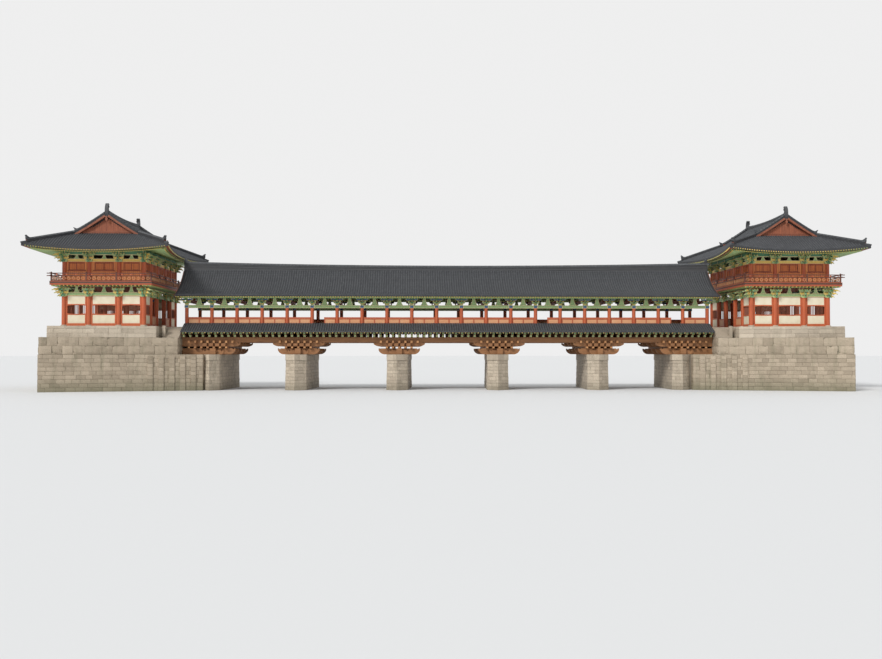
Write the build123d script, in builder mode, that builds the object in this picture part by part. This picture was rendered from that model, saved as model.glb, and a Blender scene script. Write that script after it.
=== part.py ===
from build123d import *
from math import atan, cos, degrees, radians, sin, tan
import os

# A roofed timber footbridge on boat-shaped stone piers, with a two-storey gate pavilion at each end.
# It is a scale model at 1:10, so one millimetre here is one centimetre of the real bridge.
# X runs along the bridge, Y across it, Z up. The origin is at the middle of the bridge, at the
# level where piers and walls meet the water and the ground.

# Bays of the roofed walk
bay = 315
bays = 21
bays_per_span = 4
column_row = 395
column_size = 45

# Heights of the bridge, from the water up
pier_cap_top = 445
girder_bottom = 595
girder_top = 660
floor_top = 820
walk_lintel_bottom = 1030
walk_lintel_height = 37
walk_purlin_bottom = 1180
walk_purlin_height = 42

# Stone piers
pier_width = 245
pier_side = 1140
pier_nose = 100
pier_batter = 1.5
pier_cap_height = 75
pier_cap_lip = 8
river_skew = 2.5

# Timber corbels on each pier
arm_width = 34
arm_rows = 5
arm_row_pitch = 240
lower_arm_length = 520
lower_arm_height = 75
upper_arm_length = 645
upper_arm_height = 50
arm_sweep = 78
arm_tip = 22
arm_notch = 11
notch_from_tip = 24
cross_beam_height = 25
cross_beam_width = 30
joint_gap = 0.3
cross_beam_pitch = 77
beam_reach = 42
end_block_waist = 25
end_block_waist_level = 16
end_block_top = 33
end_block_foot = 27
end_block_reach = 34
stub_drop = 10
saddle_length = 255
saddle_height = 50
prow_width = 70
prow_reach = 610

# Girders, joists and floor
joists_per_bay = 4
joist_width = 26
lower_joist_height = 30
upper_joist_height = 34
lower_joist_reach = 545
upper_joist_reach = 592
edge_beam_width = 30
kerb_reach = 420

# Pent roof under the rail
skirt_top = 836
skirt_eave = 640
skirt_eave_top = 732
skirt_thickness = 14
skirt_top_depth = 42
skirt_end_overhang = 26

# Rail of the roofed walk
rail_depth = 14
rail_sill_height = 16
rail_top = 915
rail_stile = 14
top_rail_height = 22
top_rail_width = 22
missing_rails_front = [(6, 0), (15, 0), (20, 1)]

# Bracket sets of the roofed walk
bracket_depth = 26
bracket_foot = 46
bracket_spread = 155
bracket_hollow = 0.12
bracket_bend_level = 0.62
bracket_arm_width = 16
bracket_arm_height = 24
bracket_reach = 80
lower_reach_share = 0.6
lower_arm_level = 18
upper_arm_level = 60
outer_purlin_size = 24
outer_purlin_height = 30
leaf_width = 92
leaf_depth = 15
leaf_belly = 0.28
leaf_belly_level = 0.3
leaf_head = 0.17

# Roof of the roofed walk
walk_eave = 555
walk_eave_drop = 52
walk_ridge_seat = 1535
walk_roof_thickness = 22
walk_roof_end = 3430
walk_ridge_width = 44
walk_ridge_mid = 1585
walk_ridge_tip = 1630
tie_beam_height = 40
tie_beam_width = 30
post_size = 30
verge_board = 12
verge_drop = 24

# Gate pavilions
pavilion_centre = 4220
mid_bay_x = 360
side_bay_x = 300
mid_bay_y = 390
side_bay_y = 300
podium_top = 790
podium_lip = 150
ground_column = 58
ground_lintel_bottom = 1160
ground_lintel_height = 40
ground_block_height = 70
ground_beam_height = 15
balcony_bottom = 1285
balcony_height = 45
balcony_reach = 130
balcony_rail_top = 1430
upper_column = 52
upper_lintel_bottom = 1575
upper_lintel_height = 35
upper_block_height = 45
upper_beam_height = 80
beam_width = 30

# Walls, windows and balcony rails of the pavilions
wall_thickness = 14
frame_depth = 20
shutter_thickness = 8
rail_inset = 14
rail_post = 16
rail_bar = 10
rail_tip = 46
lattice_top = 1390
sill_height = 30
dado_top = 930
frieze_bottom = 1054
frame_width = 12
shutter_bottom = 1470
shutter_top = 1560
shutter_share = 0.58

# Pavilion roofs
eave_x = 770
eave_y = 1085
eave_height = 1715
eave_edge = 35
tip_reach = 90
tip_rise = 50
gable_half = 380
gable_base = 1930
roof_sag = 6
roof_ridge_height = 2160
roof_ridge_half = 720
ridge_width = 40
ridge_mid_height = 25
ridge_tip_height = 45
hip_ridge_width = 30
hip_ridge_height = 28
hip_ridge_stop = 70
verge_thickness = 26
verge_ridge_width = 28
verge_ridge_height = 30
verge_overhang = 40
finial_height = 100
finial_width = 52
finial_bulge = 8
finial_tip_in = 23
finial_lip_in = 49
finial_lip_height = 86

# Abutments, bank walls and stairs
abutment_gap = 1050
abutment_width = 195
abutment_back = 3050
bank_behind = 650
bank_depth = 1180
bank_near_depth = 660
terrace_start = 3345
terrace_top = 650
terrace_step = 20
rib_width = 58
rib_relief = 14
rib_start = 3160
rib_pitch = 122
ribs = 5
link_depth = 425
stair_width = 165
stair_risers = 8
stair_tread = 30
newel_size = 36
newel_height = 150

os.makedirs("parts", exist_ok=True)

span = bays_per_span * bay
walk_half = bay * bays / 2
pier_places = [-1.5 * span, -0.5 * span, 0.5 * span, 1.5 * span]
abutment_place = pier_places[-1] + abutment_gap
column_places = [-walk_half + bay * i for i in range(bays + 1)]
sides = {"left": -1, "right": 1}
faces = {"front": -1, "back": 1}
upper_floor = balcony_bottom + balcony_height
foot = (Align.CENTER, Align.CENTER, Align.MIN)


def keep(piece, name):
    piece.part.label = name
    export_step(piece.part, f"parts/{name}.step")


def river_plane(x, height):
    # Piers stand square to the current, which crosses the bridge a little askew
    turn = radians(river_skew)
    return Plane(origin=(x, 0, height), x_dir=(cos(turn), -sin(turn), 0), z_dir=(0, 0, 1))


def boat_outline(width, side, nose, spread):
    # The plan of a pier, pointed both upstream and downstream
    with BuildSketch() as outline:
        with BuildLine():
            Polyline(
                (-width / 2, -side / 2),
                (0, -side / 2 - nose),
                (width / 2, -side / 2),
                (width / 2, side / 2),
                (0, side / 2 + nose),
                (-width / 2, side / 2),
                close=True,
            )
        make_face()
        offset(amount=spread, kind=Kind.INTERSECTION)
    return outline.sketch


# Piers: battered boat-shaped shafts under a projecting cap course
pier_shaft_height = pier_cap_top - pier_cap_height
pier_spread = pier_shaft_height * tan(radians(pier_batter))


def make_pier(x):
    with BuildPart() as pier:
        with BuildSketch(river_plane(x, 0)):
            add(boat_outline(pier_width, pier_side, pier_nose, pier_spread))
        extrude(amount=pier_shaft_height, taper=pier_batter)
        with BuildSketch(river_plane(x, pier_shaft_height)):
            add(boat_outline(pier_width, pier_side, pier_nose, pier_cap_lip))
        extrude(amount=pier_cap_height)
    return pier


for number, place in enumerate(pier_places, 1):
    keep(make_pier(place), f"pier_{number}")


# Corbels: tiers of arms along the bridge, crossed by beams whose ends show on both faces
lower_arm_top = pier_cap_top + lower_arm_height
upper_arm_bottom = lower_arm_top + cross_beam_height
upper_arm_top = upper_arm_bottom + upper_arm_height
arm_places = [arm_row_pitch * (i - (arm_rows - 1) / 2) for i in range(arm_rows)]
outer_arm = arm_places[-1]
outer_face = outer_arm + arm_width / 2
saddle_row = pier_side / 2 - arm_width / 2


def arm_outline(length, height, sweep, tip, notch):
    # Level top, flat underside and ends that rise like a boat's bow, each with a scoop behind its tip
    flat = length / 2 - sweep
    scoop = length / 2 - notch_from_tip
    with BuildSketch() as outline:
        with BuildLine():
            TangentArc((flat, 0), (length / 2, height - tip), tangent=(1, 0))
            Line((length / 2, height - tip), (length / 2, height))
            Line((length / 2, height), (-length / 2, height))
            Line((-length / 2, height), (-length / 2, height - tip))
            TangentArc((-flat, 0), (-length / 2, height - tip), tangent=(-1, 0))
            Line((-flat, 0), (flat, 0))
        make_face()
        with Locations((scoop, height), (-scoop, height)):
            Circle(notch, mode=Mode.SUBTRACT)
    return outline.sketch


def waisted_end():
    # The end of a cross timber between two rows of beam ends, hollowed on both sides
    tall = upper_arm_height - stub_drop
    with BuildSketch() as outline:
        with BuildLine():
            waist = (end_block_waist, end_block_waist_level)
            ThreePointArc((end_block_foot, 0), waist, (end_block_top, tall))
            Line((end_block_top, tall), (0, tall))
            Line((end_block_foot, 0), (0, 0))
            mirror(about=Plane.YZ)
        make_face()
    return outline.sketch


def arm_planes(rows, height):
    # Upright planes on the back of each arm of a tier
    return [Plane((0, row + arm_width / 2, height), (1, 0, 0), (0, -1, 0)) for row in rows]


with BuildPart() as corbel:
    with BuildSketch(*arm_planes(arm_places, pier_cap_top)):
        add(arm_outline(lower_arm_length, lower_arm_height, arm_sweep, arm_tip, arm_notch))
    extrude(amount=arm_width)
    with BuildSketch(*arm_planes(arm_places, upper_arm_bottom)):
        add(arm_outline(upper_arm_length, upper_arm_height, arm_sweep, arm_tip, arm_notch))
    extrude(amount=arm_width)
    with BuildSketch(*arm_planes((-saddle_row, saddle_row), pier_cap_top)):
        add(arm_outline(saddle_length, saddle_height, arm_sweep / 2, arm_tip, arm_notch))
    extrude(amount=arm_width)
    with BuildSketch(Plane.XY.offset(lower_arm_top)):
        with Locations([(step * cross_beam_pitch, 0) for step in range(-2, 3)]):
            Rectangle(cross_beam_width, 2 * (outer_face + beam_reach))
    extrude(amount=cross_beam_height)
    with BuildSketch(Plane((0, outer_face + end_block_reach, upper_arm_bottom), (1, 0, 0), (0, -1, 0))):
        with Locations([((step + 0.5) * cross_beam_pitch, 0) for step in range(-2, 2)]):
            add(waisted_end())
    extrude(amount=end_block_reach)
    with BuildSketch(Plane.XY.offset(upper_arm_top - stub_drop)):
        with Locations([(step * cross_beam_pitch, outer_face + beam_reach / 2) for step in range(-3, 4)]):
            Rectangle(cross_beam_width, beam_reach)
    extrude(amount=cross_beam_height + stub_drop)
    with BuildSketch(Plane.XY.offset(pier_cap_top)):
        with Locations((0, (saddle_row + prow_reach) / 2)):
            Rectangle(prow_width, prow_reach - saddle_row)
    extrude(amount=lower_arm_height)
    mirror(about=Plane.XZ)


def set_corbel(x, name):
    with BuildPart() as standing:
        with Locations((x, 0, 0)):
            add(corbel.part)
    keep(standing, name)


for number, place in enumerate(pier_places, 1):
    set_corbel(place, f"pier_corbel_{number}")


# Abutments: a narrower pier on the river side, carried back square into the bank
def make_abutment(side):
    place = side * abutment_place
    back = side * abutment_back
    with BuildPart() as abutment:
        with BuildSketch(river_plane(place, 0)):
            add(boat_outline(abutment_width, pier_side, pier_nose, pier_spread))
        extrude(amount=pier_shaft_height, taper=pier_batter)
        with BuildSketch(river_plane(place, pier_shaft_height)):
            add(boat_outline(abutment_width, pier_side, pier_nose, pier_cap_lip))
        extrude(amount=pier_cap_height)
        with BuildSketch():
            with Locations(((place + back) / 2, 0)):
                Rectangle(abs(back - place), pier_side)
        extrude(amount=pier_cap_top)
        split(bisect_by=Plane((back, 0, 0), z_dir=(side, 0, 0)), keep=Keep.BOTTOM)
    return abutment


# On the abutments the tiers also run back to the terrace as straight timbers, crossed at the same pitch
def make_abutment_corbel(side):
    reach = terrace_start - abutment_place
    crib_beams = int((reach - cross_beam_width) / cross_beam_pitch)
    with BuildPart() as crib:
        with Locations((side * abutment_place, 0, 0)):
            add(corbel.part)
        for level, height in ((pier_cap_top, lower_arm_height), (upper_arm_bottom, upper_arm_height)):
            with BuildSketch(Plane.XY.offset(level)):
                with Locations([(side * (abutment_place + reach / 2), row) for row in arm_places]):
                    Rectangle(reach, arm_width)
            extrude(amount=height)
        with BuildSketch(Plane.XY.offset(lower_arm_top)):
            spots = [abutment_place + step * cross_beam_pitch for step in range(3, crib_beams)]
            with Locations([(side * spot, 0) for spot in spots]):
                Rectangle(cross_beam_width, 2 * (outer_face + beam_reach))
        extrude(amount=cross_beam_height)
    return crib


for side_name, side in sides.items():
    keep(make_abutment(side), f"abutment_{side_name}")
    keep(make_abutment_corbel(side), f"abutment_corbel_{side_name}")


# Bank terraces: a ribbed lower wall from the ground, and an upper wall set back on it
bank_end = pavilion_centre + bank_behind
bank_slope = (bank_depth - bank_near_depth) / (bank_end - abutment_back)
bank_angle = degrees(atan(bank_slope))


def bank_front(x):
    # How far the lower wall stands out at a place along the bank
    return bank_near_depth + (x - abutment_back) * bank_slope


def bank_outline(side, start, inset):
    # The plan of a bank from a place along it to its outer end
    with BuildSketch() as outline:
        with BuildLine():
            Polyline(
                (side * start, bank_front(start) - inset),
                (side * bank_end, bank_depth - inset),
                (side * bank_end, inset - bank_depth),
                (side * start, inset - bank_front(start)),
                close=True,
            )
        make_face()
    return outline.sketch


def make_terrace(side):
    with BuildPart() as terrace:
        for start, inset, bottom, top in (
            (abutment_back, 0, 0, pier_cap_top),
            (terrace_start, terrace_step, pier_cap_top, terrace_top),
        ):
            with BuildSketch(Plane.XY.offset(bottom)):
                add(bank_outline(side, start, inset))
            extrude(amount=top - bottom)
        rib_places = [rib_start + rib_pitch * number for number in range(ribs)]
        for face in faces.values():
            with BuildSketch():
                for place in rib_places:
                    spot = (side * place, face * bank_front(place))
                    with Locations(Location((*spot, 0), (0, 0, side * face * bank_angle))):
                        Rectangle(rib_width, 2 * rib_relief)
            extrude(amount=pier_cap_top - terrace_step)
    return terrace


# Podiums: the stone floor of each pavilion, and the landing that links it to the walk. Where the bank is
# narrower than the floor, the floor's corners are cut back to stand on it
half_x = mid_bay_x / 2 + side_bay_x
half_y = mid_bay_y / 2 + 2 * side_bay_y
podium_half_x = half_x + podium_lip
podium_half_y = half_y + podium_lip
podium_start = pavilion_centre - podium_half_x


def make_podium(side):
    link = podium_start - terrace_start
    with BuildPart() as podium:
        with BuildSketch(Plane.XY.offset(terrace_top)):
            with Locations((side * pavilion_centre, 0)):
                Rectangle(2 * podium_half_x, 2 * podium_half_y)
            with Locations((side * (terrace_start + link / 2), 0)):
                Rectangle(link, 2 * link_depth)
            add(bank_outline(side, terrace_start, terrace_step), mode=Mode.INTERSECT)
        extrude(amount=podium_top - terrace_top)
    return podium


# Stairs go down from the landing to the terrace on both faces, with a stone post at the outer foot
stair_riser = (podium_top - terrace_top) / stair_risers
stair_middle = terrace_start + stair_width / 2
stair_foot = link_depth + stair_tread * stair_risers
newel_place = terrace_start + stair_width + newel_size / 2


def stair_outline():
    # One flight seen from the side, from the landing out to the foot
    with BuildSketch() as outline:
        with BuildLine():
            corners = [(link_depth, terrace_top), (link_depth, podium_top)]
            for step in range(stair_risers):
                level = podium_top - stair_riser * step
                depth = link_depth + stair_tread * (step + 1)
                corners += [(depth, level), (depth, level - stair_riser)]
            Polyline(*corners, close=True)
        make_face()
    return outline.sketch


with BuildPart() as stairs:
    with BuildSketch(Plane((stair_middle - stair_width / 2, 0, 0), (0, 1, 0), (1, 0, 0))):
        add(stair_outline())
    extrude(amount=stair_width)
    with Locations((newel_place, stair_foot - newel_size / 2, terrace_top)):
        Box(newel_size, newel_size, newel_height, align=foot)
    mirror(about=Plane.XZ)
    mirror(about=Plane.YZ)
keep(stairs, "bank_stairs")

for side_name, side in sides.items():
    keep(make_terrace(side), f"terrace_{side_name}")
    keep(make_podium(side), f"podium_{side_name}")


# Girders run from bank to bank over the corbels, each as wide as the arms under it
with BuildPart() as girders:
    with BuildSketch(Plane.XY.offset(girder_bottom)):
        with Locations([(0, row) for row in arm_places]):
            Rectangle(2 * terrace_start, arm_width)
    extrude(amount=girder_top - girder_bottom)
keep(girders, "main_girders")


# Joists lie across the girders, the upper one reaching further out than the lower
joist_pitch = bay / joists_per_bay
joist_count = bays * joists_per_bay + 1
joist_places = [joist_pitch * (i - (joist_count - 1) / 2) for i in range(joist_count)]
lower_joist_top = girder_top + lower_joist_height
upper_joist_top = lower_joist_top + upper_joist_height
with BuildPart() as joists:
    with BuildSketch(Plane.XY.offset(girder_top)):
        with Locations([(place, 0) for place in joist_places]):
            Rectangle(joist_width, 2 * lower_joist_reach)
    extrude(amount=lower_joist_height)
    with BuildSketch(Plane.XY.offset(lower_joist_top)):
        with Locations([(place, 0) for place in joist_places]):
            Rectangle(joist_width, 2 * upper_joist_reach)
    extrude(amount=upper_joist_height)
keep(joists, "deck_joists")


# The floor is a bed of boards on the joists, up to the level of the walk
with BuildPart() as floor:
    with BuildSketch(Plane.XY.offset(upper_joist_top)):
        Rectangle(2 * terrace_start, 2 * kerb_reach)
    extrude(amount=floor_top - upper_joist_top)
keep(floor, "walk_floor")


# Pent roofs shed the rain past the ends of the joists
def make_skirt(face):
    with BuildPart() as skirt:
        with BuildSketch(Plane((-walk_half - skirt_end_overhang, 0, 0), (0, face, 0), (face, 0, 0))):
            with BuildLine():
                Polyline(
                    (kerb_reach, skirt_top),
                    (kerb_reach, skirt_top - skirt_top_depth),
                    (upper_joist_reach - edge_beam_width, upper_joist_top),
                    (upper_joist_reach, upper_joist_top),
                    (skirt_eave, skirt_eave_top - skirt_thickness),
                    (skirt_eave, skirt_eave_top),
                    close=True,
                )
            make_face()
        extrude(amount=face * 2 * (walk_half + skirt_end_overhang))
    return skirt


for face_name, face in faces.items():
    keep(make_skirt(face), f"skirt_roof_{face_name}")


# Two rows of round columns carry the roof of the walk
with BuildPart() as columns:
    with BuildSketch(Plane.XY.offset(floor_top)):
        with Locations([(place, row) for place in column_places for row in (-column_row, column_row)]):
            Circle(column_size / 2)
    extrude(amount=walk_lintel_bottom - floor_top)
keep(columns, "walk_columns")


# Low rails between the columns: in each half bay a board on a sill, under a top rail, and a middle stile
half_bay = bay / 2
panel_half = (bay - column_size) / 2


def make_rail(face, missing):
    row = face * column_row
    spots = []
    for number in range(1, bays + 1):
        middle = column_places[number - 1] + half_bay
        spots += [middle + (half - 0.5) * panel_half for half in (0, 1) if (number, half) not in missing]
    stiles = [place + half_bay for place in column_places[:-1]]
    with BuildPart() as rail:
        with BuildSketch(Plane.XY.offset(floor_top)):
            with Locations([(spot, row) for spot in spots]):
                Rectangle(panel_half, top_rail_width)
        extrude(amount=rail_sill_height)
        with BuildSketch(Plane.XY.offset(floor_top + rail_sill_height)):
            with Locations([(spot, row) for spot in spots]):
                Rectangle(panel_half, rail_depth)
        extrude(amount=rail_top - top_rail_height - floor_top - rail_sill_height)
        with BuildSketch(Plane.XY.offset(rail_top - top_rail_height)):
            with Locations([(spot, row) for spot in spots]):
                Rectangle(panel_half, top_rail_width)
        extrude(amount=top_rail_height)
        with BuildSketch(Plane.XY.offset(floor_top)):
            with Locations([(spot, row) for spot in stiles]):
                Rectangle(rail_stile, top_rail_width)
        extrude(amount=rail_top - floor_top)
    return rail


for face_name, face in faces.items():
    missing = missing_rails_front if face < 0 else []
    keep(make_rail(face, missing), f"walk_rail_{face_name}")


# Lintels lie on the column heads. Bracket sets spread from each column, leaf-shaped blocks stand over
# the middle of each bay, and arms reach out to carry the outer of the two purlins
walk_lintel_top = walk_lintel_bottom + walk_lintel_height
walk_purlin_top = walk_purlin_bottom + walk_purlin_height
frieze_height = walk_purlin_bottom - walk_lintel_top


def bracket_outline(foot_width, head_width, height):
    # A bracket set seen square on: narrow on the column, its sides curving out to the beam above
    hollow = (foot_width + head_width) / 4 - bracket_hollow * (head_width - foot_width)
    with BuildSketch() as outline:
        with BuildLine():
            bend = (hollow, height * bracket_bend_level)
            ThreePointArc((foot_width / 2, 0), bend, (head_width / 2, height))
            Line((head_width / 2, height), (0, height))
            Line((foot_width / 2, 0), (0, 0))
            mirror(about=Plane.YZ)
        make_face()
    return outline.sketch


def leaf_outline(width, height):
    # A carved block with a broad foot and a narrow head
    with BuildSketch() as outline:
        with BuildLine():
            belly = (width * leaf_belly, height * leaf_belly_level)
            head = (width * leaf_head, height)
            ThreePointArc((width / 2, 0), belly, head)
            Line(head, (0, height))
            Line((width / 2, 0), (0, 0))
            mirror(about=Plane.YZ)
        make_face()
    return outline.sketch


def make_walk_frieze(face):
    row = face * column_row
    outer = face * (column_row + beam_width / 2)
    with BuildPart() as frieze:
        with BuildSketch(Plane.XY.offset(walk_lintel_bottom)):
            with Locations((0, row)):
                Rectangle(2 * walk_half + column_size, beam_width)
        extrude(amount=walk_lintel_height)
        with BuildSketch(Plane((0, row + bracket_depth / 2, walk_lintel_top), (1, 0, 0), (0, -1, 0))):
            with Locations([(place, 0) for place in column_places]):
                add(bracket_outline(bracket_foot, bracket_spread, frieze_height))
        extrude(amount=bracket_depth)
        with BuildSketch(Plane((0, row + leaf_depth / 2, walk_lintel_top), (1, 0, 0), (0, -1, 0))):
            with Locations([(place + half_bay, 0) for place in column_places[:-1]]):
                add(leaf_outline(leaf_width, frieze_height))
        extrude(amount=leaf_depth)
        arm_inner = face * (column_row + bracket_depth / 2)
        lower_reach = bracket_reach * lower_reach_share
        for level, reach in ((lower_arm_level, lower_reach), (upper_arm_level, bracket_reach)):
            middle = arm_inner + face * reach / 2
            with BuildSketch(Plane.XY.offset(walk_lintel_top + level)):
                with Locations([(place, middle) for place in column_places]):
                    Rectangle(bracket_arm_width, reach)
            extrude(amount=bracket_arm_height)
    return frieze


def make_walk_purlins(face):
    outer_bottom = walk_lintel_top + upper_arm_level + bracket_arm_height
    outer_row = face * (column_row + bracket_depth / 2 + bracket_reach - outer_purlin_size / 2)
    length = 2 * walk_half + 2 * column_size
    with BuildPart() as purlins:
        with BuildSketch(Plane.XY.offset(walk_purlin_bottom)):
            with Locations((0, face * column_row)):
                Rectangle(length, beam_width)
        extrude(amount=walk_purlin_height)
        with BuildSketch(Plane.XY.offset(outer_bottom)):
            with Locations((0, outer_row)):
                Rectangle(length, outer_purlin_size)
        extrude(amount=outer_purlin_height)
    return purlins


for face_name, face in faces.items():
    keep(make_walk_frieze(face), f"walk_frieze_{face_name}")
    keep(make_walk_purlins(face), f"walk_purlin_{face_name}")


# Tie beams cross the walk between the bracket sets and carry a post under the ridge
tie_bottom = walk_lintel_top + (walk_purlin_bottom - walk_lintel_top - tie_beam_height) / 2
walk_ceiling = walk_ridge_seat - walk_roof_thickness
tie_top = tie_bottom + tie_beam_height
with BuildPart() as trusses:
    with BuildSketch(Plane.XY.offset(tie_bottom)):
        with Locations([(place, 0) for place in column_places]):
            Rectangle(tie_beam_width, 2 * column_row - bracket_depth)
    extrude(amount=tie_beam_height)
    with BuildSketch(Plane.XY.offset(tie_top)):
        with Locations([(place, 0) for place in column_places]):
            Rectangle(post_size, post_size)
    extrude(amount=walk_ceiling - tie_top)
keep(trusses, "walk_trusses")


# The long roof: two sagging slopes with a flat seat for the ridge, and verge boards at both ends
purlin_edge = column_row + beam_width / 2
walk_eave_height = walk_purlin_top - walk_eave_drop


def roof_slopes(drop):
    # Half of the roof's cross-section line, from eave to ridge seat, lowered by the drop
    return ThreePointArc(
        (walk_eave, walk_eave_height + walk_roof_thickness - drop),
        (purlin_edge, walk_purlin_top + walk_roof_thickness - drop),
        (walk_ridge_width / 2, walk_ridge_seat - drop),
    )


def roof_section(upper, lower):
    with BuildSketch() as section:
        with BuildLine():
            top = roof_slopes(upper)
            bottom = roof_slopes(lower)
            Line(top @ 0, bottom @ 0)
            Line(top @ 1, (0, (top @ 1).Y))
            Line(bottom @ 1, (0, (bottom @ 1).Y))
            mirror(about=Plane.YZ)
        make_face()
    return section.sketch


def cross_plane(x):
    return Plane((x, 0, 0), (0, 1, 0), (1, 0, 0))


with BuildPart() as walk_roof:
    with BuildSketch(cross_plane(-walk_roof_end)):
        add(roof_section(0, walk_roof_thickness))
    extrude(amount=2 * walk_roof_end)
    for start in (-walk_roof_end, walk_roof_end - verge_board):
        with BuildSketch(cross_plane(start)):
            add(roof_section(0, walk_roof_thickness + verge_drop))
        extrude(amount=verge_board)
keep(walk_roof, "walk_roof")


# Its ridge: a plastered wall of tiles whose top dips gently in the middle
with BuildPart() as walk_ridge:
    with BuildSketch(Plane((0, walk_ridge_width / 2, 0), (1, 0, 0), (0, -1, 0))):
        with BuildLine():
            crest = ThreePointArc(
                (-walk_roof_end, walk_ridge_tip),
                (0, walk_ridge_mid),
                (walk_roof_end, walk_ridge_tip),
            )
            Polyline(
                crest @ 0,
                (-walk_roof_end, walk_ridge_seat),
                (walk_roof_end, walk_ridge_seat),
                crest @ 1,
            )
        make_face()
    extrude(amount=walk_ridge_width)
keep(walk_ridge, "walk_ridge")


# Pavilion frames: places of the columns and of the bays between them
lines_x = [-half_x, -mid_bay_x / 2, mid_bay_x / 2, half_x]
lines_y = [
    -half_y,
    -half_y + side_bay_y,
    -mid_bay_y / 2,
    mid_bay_y / 2,
    half_y - side_bay_y,
    half_y,
]


column_spots = [(x, y) for x in lines_x for y in lines_y if abs(x) == half_x or abs(y) == half_y]


def on_narrow_faces(middle, height):
    # Places across both narrow faces, for a piece that lies along X
    return [Location((end * middle, face * half_y, height)) for end in (-1, 1) for face in (-1, 1)]


def on_broad_faces(middle, height):
    # Places along both broad faces, for a piece that lies along Y
    places = [(face * half_x, end * middle) for end in (-1, 1) for face in (-1, 1)]
    return [Location((x, y, height), (0, 0, 90)) for x, y in places]


def bays_at(height):
    # Width, use and places of each kind of bay round a pavilion
    side_x = (mid_bay_x + side_bay_x) / 2
    near_y = (mid_bay_y + side_bay_y) / 2
    far_y = near_y + side_bay_y
    return [
        (mid_bay_x, "wall", on_narrow_faces(0, height)[:2]),
        (side_bay_x, "wall", on_narrow_faces(side_x, height)),
        (side_bay_y, "wall", on_broad_faces(far_y, height)),
        (side_bay_y, "rail", on_broad_faces(near_y, height)),
        (mid_bay_y, "passage", on_broad_faces(0, height)[:2]),
    ]


def stand_on_banks(piece, name):
    # Pieces of a pavilion are made round the origin, then one stands at each end of the bridge
    for side_name, side in sides.items():
        with BuildPart() as standing:
            with Locations((side * pavilion_centre, 0, 0)):
                add(piece.part)
        keep(standing, f"{name}_{side_name}")


def make_columns(size, bottom, top):
    with BuildPart() as posts:
        with BuildSketch(Plane.XY.offset(bottom)):
            with Locations(column_spots):
                Circle(size / 2)
        extrude(amount=top - bottom)
    return posts


def make_panels():
    # Plaster below and above each window, on a timber sill; only a low rail beside the passage
    with BuildPart() as panels:
        for width, use, places in bays_at(podium_top):
            if use != "passage":
                with Locations(places):
                    Box(width - ground_column, beam_width, sill_height, align=foot)
        for width, use, places in bays_at(podium_top + sill_height):
            if use != "passage":
                top = dado_top if use == "wall" else rail_top
                clear = width - ground_column - 2 * frame_width
                with Locations(places):
                    Box(clear, wall_thickness, top - podium_top - sill_height, align=foot)
        for width, use, places in bays_at(frieze_bottom):
            if use == "wall":
                clear = width - ground_column - 2 * frame_width
                with Locations(places):
                    Box(clear, wall_thickness, ground_lintel_bottom - frieze_bottom, align=foot)
    return panels


def make_jambs():
    # Posts at both edges of each window bay
    height = ground_lintel_bottom - podium_top - sill_height
    with BuildPart() as jambs:
        for width, use, places in bays_at(podium_top + sill_height):
            if use != "passage":
                reach = (width - ground_column - frame_width) / 2
                with Locations(places):
                    with Locations((-reach, 0), (reach, 0)):
                        Box(frame_width, frame_depth, height, align=foot)
    return jambs


def upright_planes(on_faces, depth):
    # Planes that stand on the given places, on the back of a piece of the given depth
    return [Plane(place) * Location((0, depth / 2, 0), (90, 0, 0)) for place in on_faces]


def make_frieze(bottom, lintel, block, beam, spread):
    # On each face a lintel, bracket sets and leaf-shaped blocks with gaps between, and the beam they carry.
    # The broad faces run through at the corners, and the narrow ones meet them
    broad = 2 * half_y + beam_width
    narrow = 2 * half_x - beam_width - 2 * joint_gap
    block_bottom = bottom + lintel
    beam_bottom = block_bottom + block
    broad_spots = [(x, y) for x, y in column_spots if abs(x) == half_x]
    broad_columns = [Location((x, y, block_bottom), (0, 0, 90)) for x, y in broad_spots]
    narrow_columns = [Location((x, y, block_bottom)) for x, y in column_spots if abs(x) != half_x]
    with BuildPart() as frieze:
        for level, height in ((bottom, lintel), (beam_bottom, beam)):
            with Locations(on_broad_faces(0, level)[:2]):
                Box(broad, beam_width, height, align=foot)
            with Locations(on_narrow_faces(0, level)[:2]):
                Box(narrow, beam_width, height, align=foot)
        with BuildSketch(*upright_planes(broad_columns[1:-1] + narrow_columns, bracket_depth)):
            add(bracket_outline(bracket_foot, spread, block))
        extrude(amount=bracket_depth)
        leaves = [place for width, use, places in bays_at(block_bottom) for place in places]
        with BuildSketch(*upright_planes(leaves, leaf_depth)):
            add(leaf_outline(leaf_width, block))
        extrude(amount=leaf_depth)
    return frieze


def make_balcony():
    with BuildPart() as balcony:
        with BuildSketch(Plane.XY.offset(balcony_bottom)):
            Rectangle(2 * (half_x + balcony_reach), 2 * (half_y + balcony_reach))
        extrude(amount=balcony_height)
    return balcony


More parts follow.
